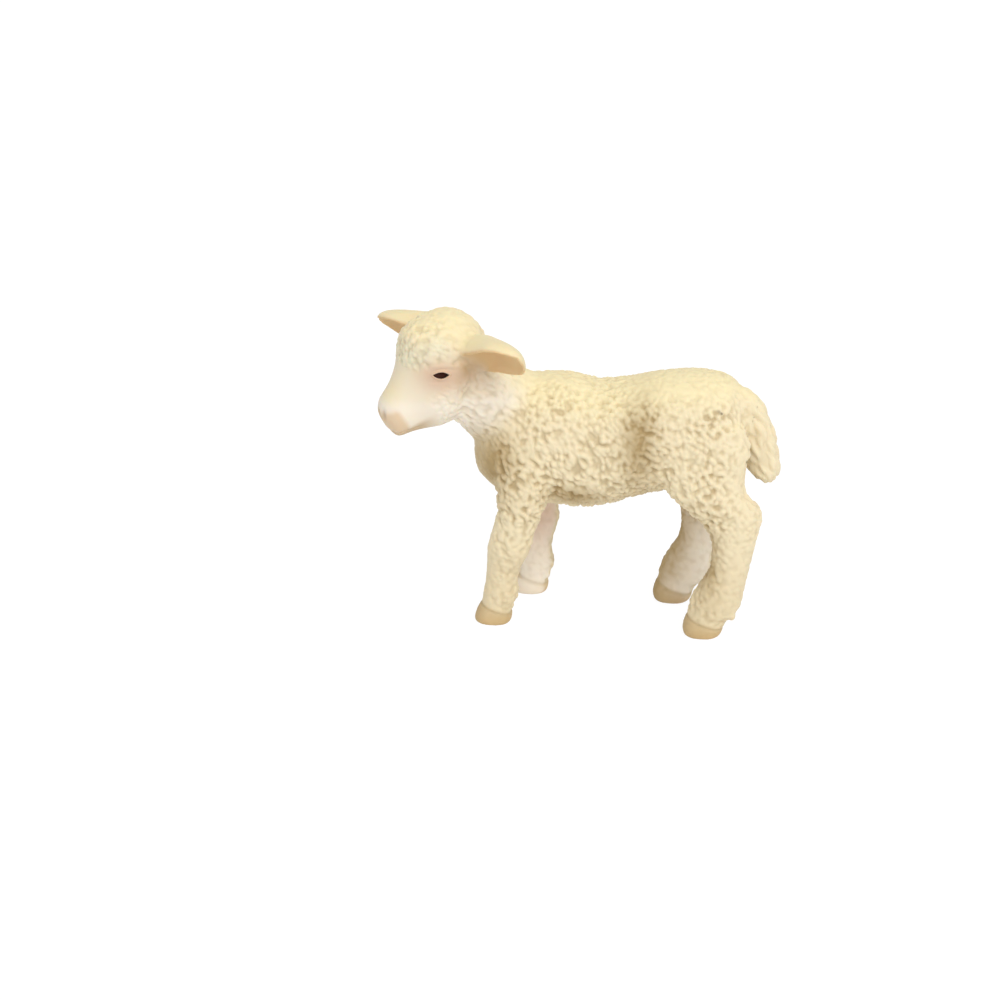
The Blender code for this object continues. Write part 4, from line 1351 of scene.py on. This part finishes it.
def mix_colours(nodes, links, factor, first, second):
    """A Mix node between two colours, its inputs 6 and 7, by a factor, its input 0. Each is a
    socket or a plain value."""
    node = nodes.new("ShaderNodeMix")
    node.data_type = "RGBA"
    for socket, value in ((0, factor), (6, first), (7, second)):
        feed(links, node.inputs[socket], value)
    return node.outputs[2]


def maths(nodes, links, operation, *values, clamp=False):
    """A Math node. Each input is a socket or a plain value."""
    node = nodes.new("ShaderNodeMath")
    node.operation = operation
    node.use_clamp = clamp
    for socket, value in zip(node.inputs, values):
        feed(links, socket, value)
    return node.outputs[0]


def set_inputs(node, values):
    """Gives some of a node's inputs their values, and returns the node."""
    for label, value in values.items():
        node.inputs[label].default_value = value
    return node


def new_material(name):
    """A material, its nodes and links, and its main shader."""
    material = bpy.data.materials.new(name)
    material.use_nodes = True
    nodes, links = material.node_tree.nodes, material.node_tree.links
    return material, nodes, links, nodes["Principled BSDF"]


def brush_group():
    """Uneven hand painting: wide soft patches and a fine grain over the surface, as two masks."""
    name = "Brush Patches"
    if name in bpy.data.node_groups:
        return bpy.data.node_groups[name]
    group, start, end = node_group(
        name,
        {"Vector": ("NodeSocketVector", (0, 0, 0)), "Patch Scale": ("NodeSocketFloat", 260.0)},
        {"Patches": "NodeSocketFloat", "Grain": "NodeSocketFloat"},
    )
    nodes, links = group.nodes, group.links
    wide = set_inputs(nodes.new("ShaderNodeTexNoise"), {"Detail": 3.0, "Roughness": 0.6})
    grain = set_inputs(nodes.new("ShaderNodeTexNoise"), {"Detail": 4.0, "Scale": 4200.0})
    spread = set_inputs(nodes.new("ShaderNodeMapRange"), {"From Min": 0.30, "From Max": 0.70})
    links.new(start.outputs["Vector"], wide.inputs["Vector"])
    links.new(start.outputs["Patch Scale"], wide.inputs["Scale"])
    links.new(start.outputs["Vector"], grain.inputs["Vector"])
    links.new(wide.outputs["Fac"], spread.inputs["Value"])
    links.new(spread.outputs["Result"], end.inputs["Patches"])
    links.new(grain.outputs["Fac"], end.inputs["Grain"])
    return group


def paint_group():
    """The paint's layers, each laid over the last by the mask of its name. The brush's patches
    make the tan, which is partly painted shade, uneven."""
    name = "Lamb Paint"
    if name in bpy.data.node_groups:
        return bpy.data.node_groups[name]
    inputs = {label: ("NodeSocketColor", (1, 1, 1, 1)) for label in ("Base", *LAYERS)}
    inputs["Patches"] = ("NodeSocketFloat", 0.5)
    group, start, end = node_group(name, inputs, {"Color": "NodeSocketColor"})
    nodes, links = group.nodes, group.links
    uneven = maths(nodes, links, "MULTIPLY_ADD", start.outputs["Patches"], 0.5, 0.75)
    paint = start.outputs["Base"]
    for label in LAYERS:
        attribute = nodes.new("ShaderNodeAttribute")
        attribute.attribute_name = label.lower()
        mask = attribute.outputs["Fac"]
        if label == "Tan":
            mask = maths(nodes, links, "MULTIPLY", mask, uneven, clamp=True)
        paint = mix_colours(nodes, links, mask, paint, start.outputs[label])
    links.new(paint, end.inputs["Color"])
    return group


def vinyl(slot):
    """A slot's painted soft vinyl: the paint's layers, patchy brushwork and a fine grain."""
    finish = settings()[2]
    name, roughness, softness = VINYLS[slot]
    if name in bpy.data.materials:
        return bpy.data.materials[name]
    material, nodes, links, shader = new_material(name)
    place = nodes.new("ShaderNodeTexCoord")
    brush = nodes.new("ShaderNodeGroup")
    brush.node_tree = brush_group()
    links.new(place.outputs["Object"], brush.inputs["Vector"])
    paint = nodes.new("ShaderNodeGroup")
    paint.node_tree = paint_group()
    colours = {label: getattr(finish, label.lower()) for label in LAYERS if label != "Eye"}
    colours.update({"Base": finish.cream, "Eye": finish.eye_brown})
    set_inputs(paint, {label: (*value, 1.0) for label, value in colours.items()})
    links.new(brush.outputs["Patches"], paint.inputs["Patches"])
    links.new(paint.outputs["Color"], shader.inputs["Base Color"])
    span = {"To Min": roughness - 0.05, "To Max": roughness + 0.07}
    rough = set_inputs(nodes.new("ShaderNodeMapRange"), span)
    links.new(brush.outputs["Patches"], rough.inputs["Value"])
    links.new(rough.outputs["Result"], shader.inputs["Roughness"])
    bump = set_inputs(nodes.new("ShaderNodeBump"), {"Strength": 0.25, "Distance": 0.00002})
    links.new(brush.outputs["Grain"], bump.inputs["Height"])
    links.new(bump.outputs["Normal"], shader.inputs["Normal"])
    set_inputs(shader, {
        "Specular IOR Level": 0.3,
        "Subsurface Weight": softness,
        "Subsurface Radius": (1.0, 0.55, 0.3),
        "Subsurface Scale": 0.0005,
    })
    return material


class LAMB_OT_torso(bpy.types.Operator):
    """Builds the torso with its wool"""

    bl_idname = "lamb.torso"
    bl_label = "Torso"

    def execute(self, context):
        skin_piece("torso", "wool_vinyl")
        return {"FINISHED"}


class LAMB_OT_head(bpy.types.Operator):
    """Builds the head with its lids, nose and lips"""

    bl_idname = "lamb.head"
    bl_label = "Head"

    def execute(self, context):
        skin_piece("head", "face_vinyl")
        return {"FINISHED"}


class LAMB_OT_ears(bpy.types.Operator):
    """Builds the two cupped ears"""

    bl_idname = "lamb.ears"
    bl_label = "Ears"

    def execute(self, context):
        for node in EAR_NAMES.values():
            skin_piece(node, "ear_vinyl")
        return {"FINISHED"}


class LAMB_OT_tail(bpy.types.Operator):
    """Builds the hanging tail with its long tufts"""

    bl_idname = "lamb.tail"
    bl_label = "Tail"

    def execute(self, context):
        skin_piece("tail", "wool_vinyl")
        return {"FINISHED"}


class LAMB_OT_legs(bpy.types.Operator):
    """Builds the four legs with their hooves and dewclaws"""

    bl_idname = "lamb.legs"
    bl_label = "Legs"

    def execute(self, context):
        for front, side in LEGS:
            skin_piece(leg_name(front, side), "wool_vinyl")
        return {"FINISHED"}


class LAMB_OT_eyes(bpy.types.Operator):
    """Builds the two glossy eyes"""

    bl_idname = "lamb.eyes"
    bl_label = "Eyes"

    def execute(self, context):
        dark = settings()[2].eye_brown
        material, nodes, links, shader = new_material("Eye Gloss")
        place = nodes.new("ShaderNodeTexCoord")
        noise = set_inputs(nodes.new("ShaderNodeTexNoise"), {"Scale": 1800.0})
        links.new(place.outputs["Object"], noise.inputs["Vector"])
        brown = tuple(4 * value for value in dark)
        paint = mix_colours(nodes, links, noise.outputs["Fac"], dark, brown)
        links.new(paint, shader.inputs["Base Color"])
        set_inputs(shader, {"Roughness": 0.30, "Specular IOR Level": 0.06})
        pose = Pose()
        for side in (-1, 1):
            middle, long_way, short_way, out = eye_axes(pose, side)
            centre = shifted(middle - EYE_SINK * out - EYE_DROP * short_way)
            axes = [size * way for size, way in zip(EYE_HALF_AXES, (long_way, short_way, out))]
            name = "eye_left" if side > 0 else "eye_right"
            eye = mesh_object(name, *ball(centre, axes, 24, 48))
            eye.data.shade_smooth()
            eye.data.materials.append(material)
            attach(eye, ROOT)
        return {"FINISHED"}


class LAMB_OT_stage(bpy.types.Operator):
    """Builds the floor, the lights and the camera"""

    bl_idname = "lamb.stage"
    bl_label = "Stage"

    def execute(self, context):
        stage = settings()[3]
        scene = context.scene
        scene.view_settings.view_transform = "Standard"
        half = stage.floor_size / 2
        square = ((-half, -half), (half, -half), (half, half), (-half, half))
        corners = [(x, y, -stage.floor_drop) for x, y in square]
        floor = mesh_object("floor", corners, [(0, 1, 2, 3)])
        floor.data.materials.append(self.floor_paint())
        self.light_world(scene, stage.fill_strength)
        strengths = (stage.key_strength, stage.front_strength)
        for (name, spread, way), strength in zip(SUNS, strengths):
            sun = bpy.data.lights.new(name, "SUN")
            sun.energy = strength
            sun.angle = radians(spread)
            lamp = bpy.data.objects.new(name, sun)
            lamp.rotation_euler = Vector(way).to_track_quat("Z", "Y").to_euler()
            scene.collection.objects.link(lamp)
        self.aim_camera(scene, stage)
        return {"FINISHED"}

    def aim_camera(self, scene, stage):
        """A camera at its distance from the target, turned round it and raised."""
        azimuth, elevation = stage.view_azimuth, stage.view_elevation
        right = np.array((cos(azimuth), sin(azimuth), 0.0))
        back = sin(elevation) * Z - cos(elevation) * np.cross(Z, right)
        up = np.cross(back, right)
        place = np.array(VIEW_TARGET) + stage.view_distance * back
        lens = bpy.data.cameras.new("Camera")
        lens.sensor_width = 36.0
        lens.lens = stage.focal_length
        lens.clip_start = 0.01
        lens.clip_end = 20.0
        camera = bpy.data.objects.new("Camera", lens)
        camera.matrix_world = Matrix((*zip(right, up, back, place), (0.0, 0.0, 0.0, 1.0)))
        scene.collection.objects.link(camera)
        scene.camera = camera

    def direct(self, nodes, links):
        """1 for rays from the camera, off gloss or through glass, and 0 for the rest."""
        rays = nodes.new("ShaderNodeLightPath").outputs
        seen = maths(nodes, links, "MAXIMUM", rays["Is Camera Ray"], rays["Is Glossy Ray"])
        return maths(nodes, links, "MAXIMUM", seen, rays["Is Transmission Ray"])

    def floor_paint(self):
        """A pale floor that glows a little for the camera, so that its shadow stays faint."""
        material, nodes, links, shader = new_material("Pale Floor")
        pale = (0.92, 0.92, 0.92, 1.0)
        set_inputs(shader, {"Base Color": pale, "Roughness": 1.0, "Specular IOR Level": 0.0})
        glow = set_inputs(nodes.new("ShaderNodeEmission"), {"Strength": 1.08})
        blend = nodes.new("ShaderNodeMixShader")
        share_seen = maths(nodes, links, "MULTIPLY", self.direct(nodes, links), 0.86)
        for socket, source in zip(blend.inputs, (share_seen, shader.outputs[0], glow.outputs[0])):
            links.new(source, socket)
        links.new(blend.outputs[0], nodes["Material Output"].inputs["Surface"])
        return material

    def light_world(self, scene, fill):
        """White for the camera, and a plain soft fill light for the object."""
        world = bpy.data.worlds.new("Soft Studio")
        world.use_nodes = True
        scene.world = world
        nodes, links = world.node_tree.nodes, world.node_tree.links
        background = set_inputs(nodes["Background"], {"Color": (1.0, 1.0, 1.0, 1.0)})
        seen = self.direct(nodes, links)
        strength = maths(nodes, links, "MULTIPLY_ADD", seen, 1.0 - fill, fill)
        links.new(strength, background.inputs["Strength"])


class LAMB_PT_panel(bpy.types.Panel):
    """Sizes, colours and the steps that build the figure"""

    bl_idname = "LAMB_PT_panel"
    bl_label = "Toy Lamb"
    bl_space_type = "VIEW_3D"
    bl_region_type = "UI"
    bl_category = "Toy Lamb"

    def draw(self, context):
        for step in STEPS:
            self.layout.operator(step)
        for group in settings():
            box = self.layout.box()
            for name in group.__annotations__:
                box.prop(group, name)


STEPS = (
    "lamb.torso", "lamb.head", "lamb.ears", "lamb.tail", "lamb.legs", "lamb.eyes",
    "lamb.stage",
)
GROUPS = {
    "lamb_body": LambBody, "lamb_head": LambHead, "lamb_finish": LambFinish,
    "lamb_stage": LambStage,
}
CLASSES = (
    *GROUPS.values(), LAMB_OT_torso, LAMB_OT_head, LAMB_OT_ears, LAMB_OT_tail, LAMB_OT_legs,
    LAMB_OT_eyes, LAMB_OT_stage, LAMB_PT_panel,
)


def register():
    for item in CLASSES:
        bpy.utils.register_class(item)
    for name, group in GROUPS.items():
        setattr(bpy.types.Scene, name, bpy.props.PointerProperty(type=group))


def unregister():
    for name in GROUPS:
        delattr(bpy.types.Scene, name)
    for item in reversed(CLASSES):
        bpy.utils.unregister_class(item)


def main():
    """Registers the add-on's classes and builds the figure."""
    register()
    bpy.ops.lamb.torso()
    bpy.ops.lamb.head()
    bpy.ops.lamb.ears()
    bpy.ops.lamb.tail()
    bpy.ops.lamb.legs()
    bpy.ops.lamb.eyes()
    bpy.ops.lamb.stage()


if __name__ == "__main__":
    main()
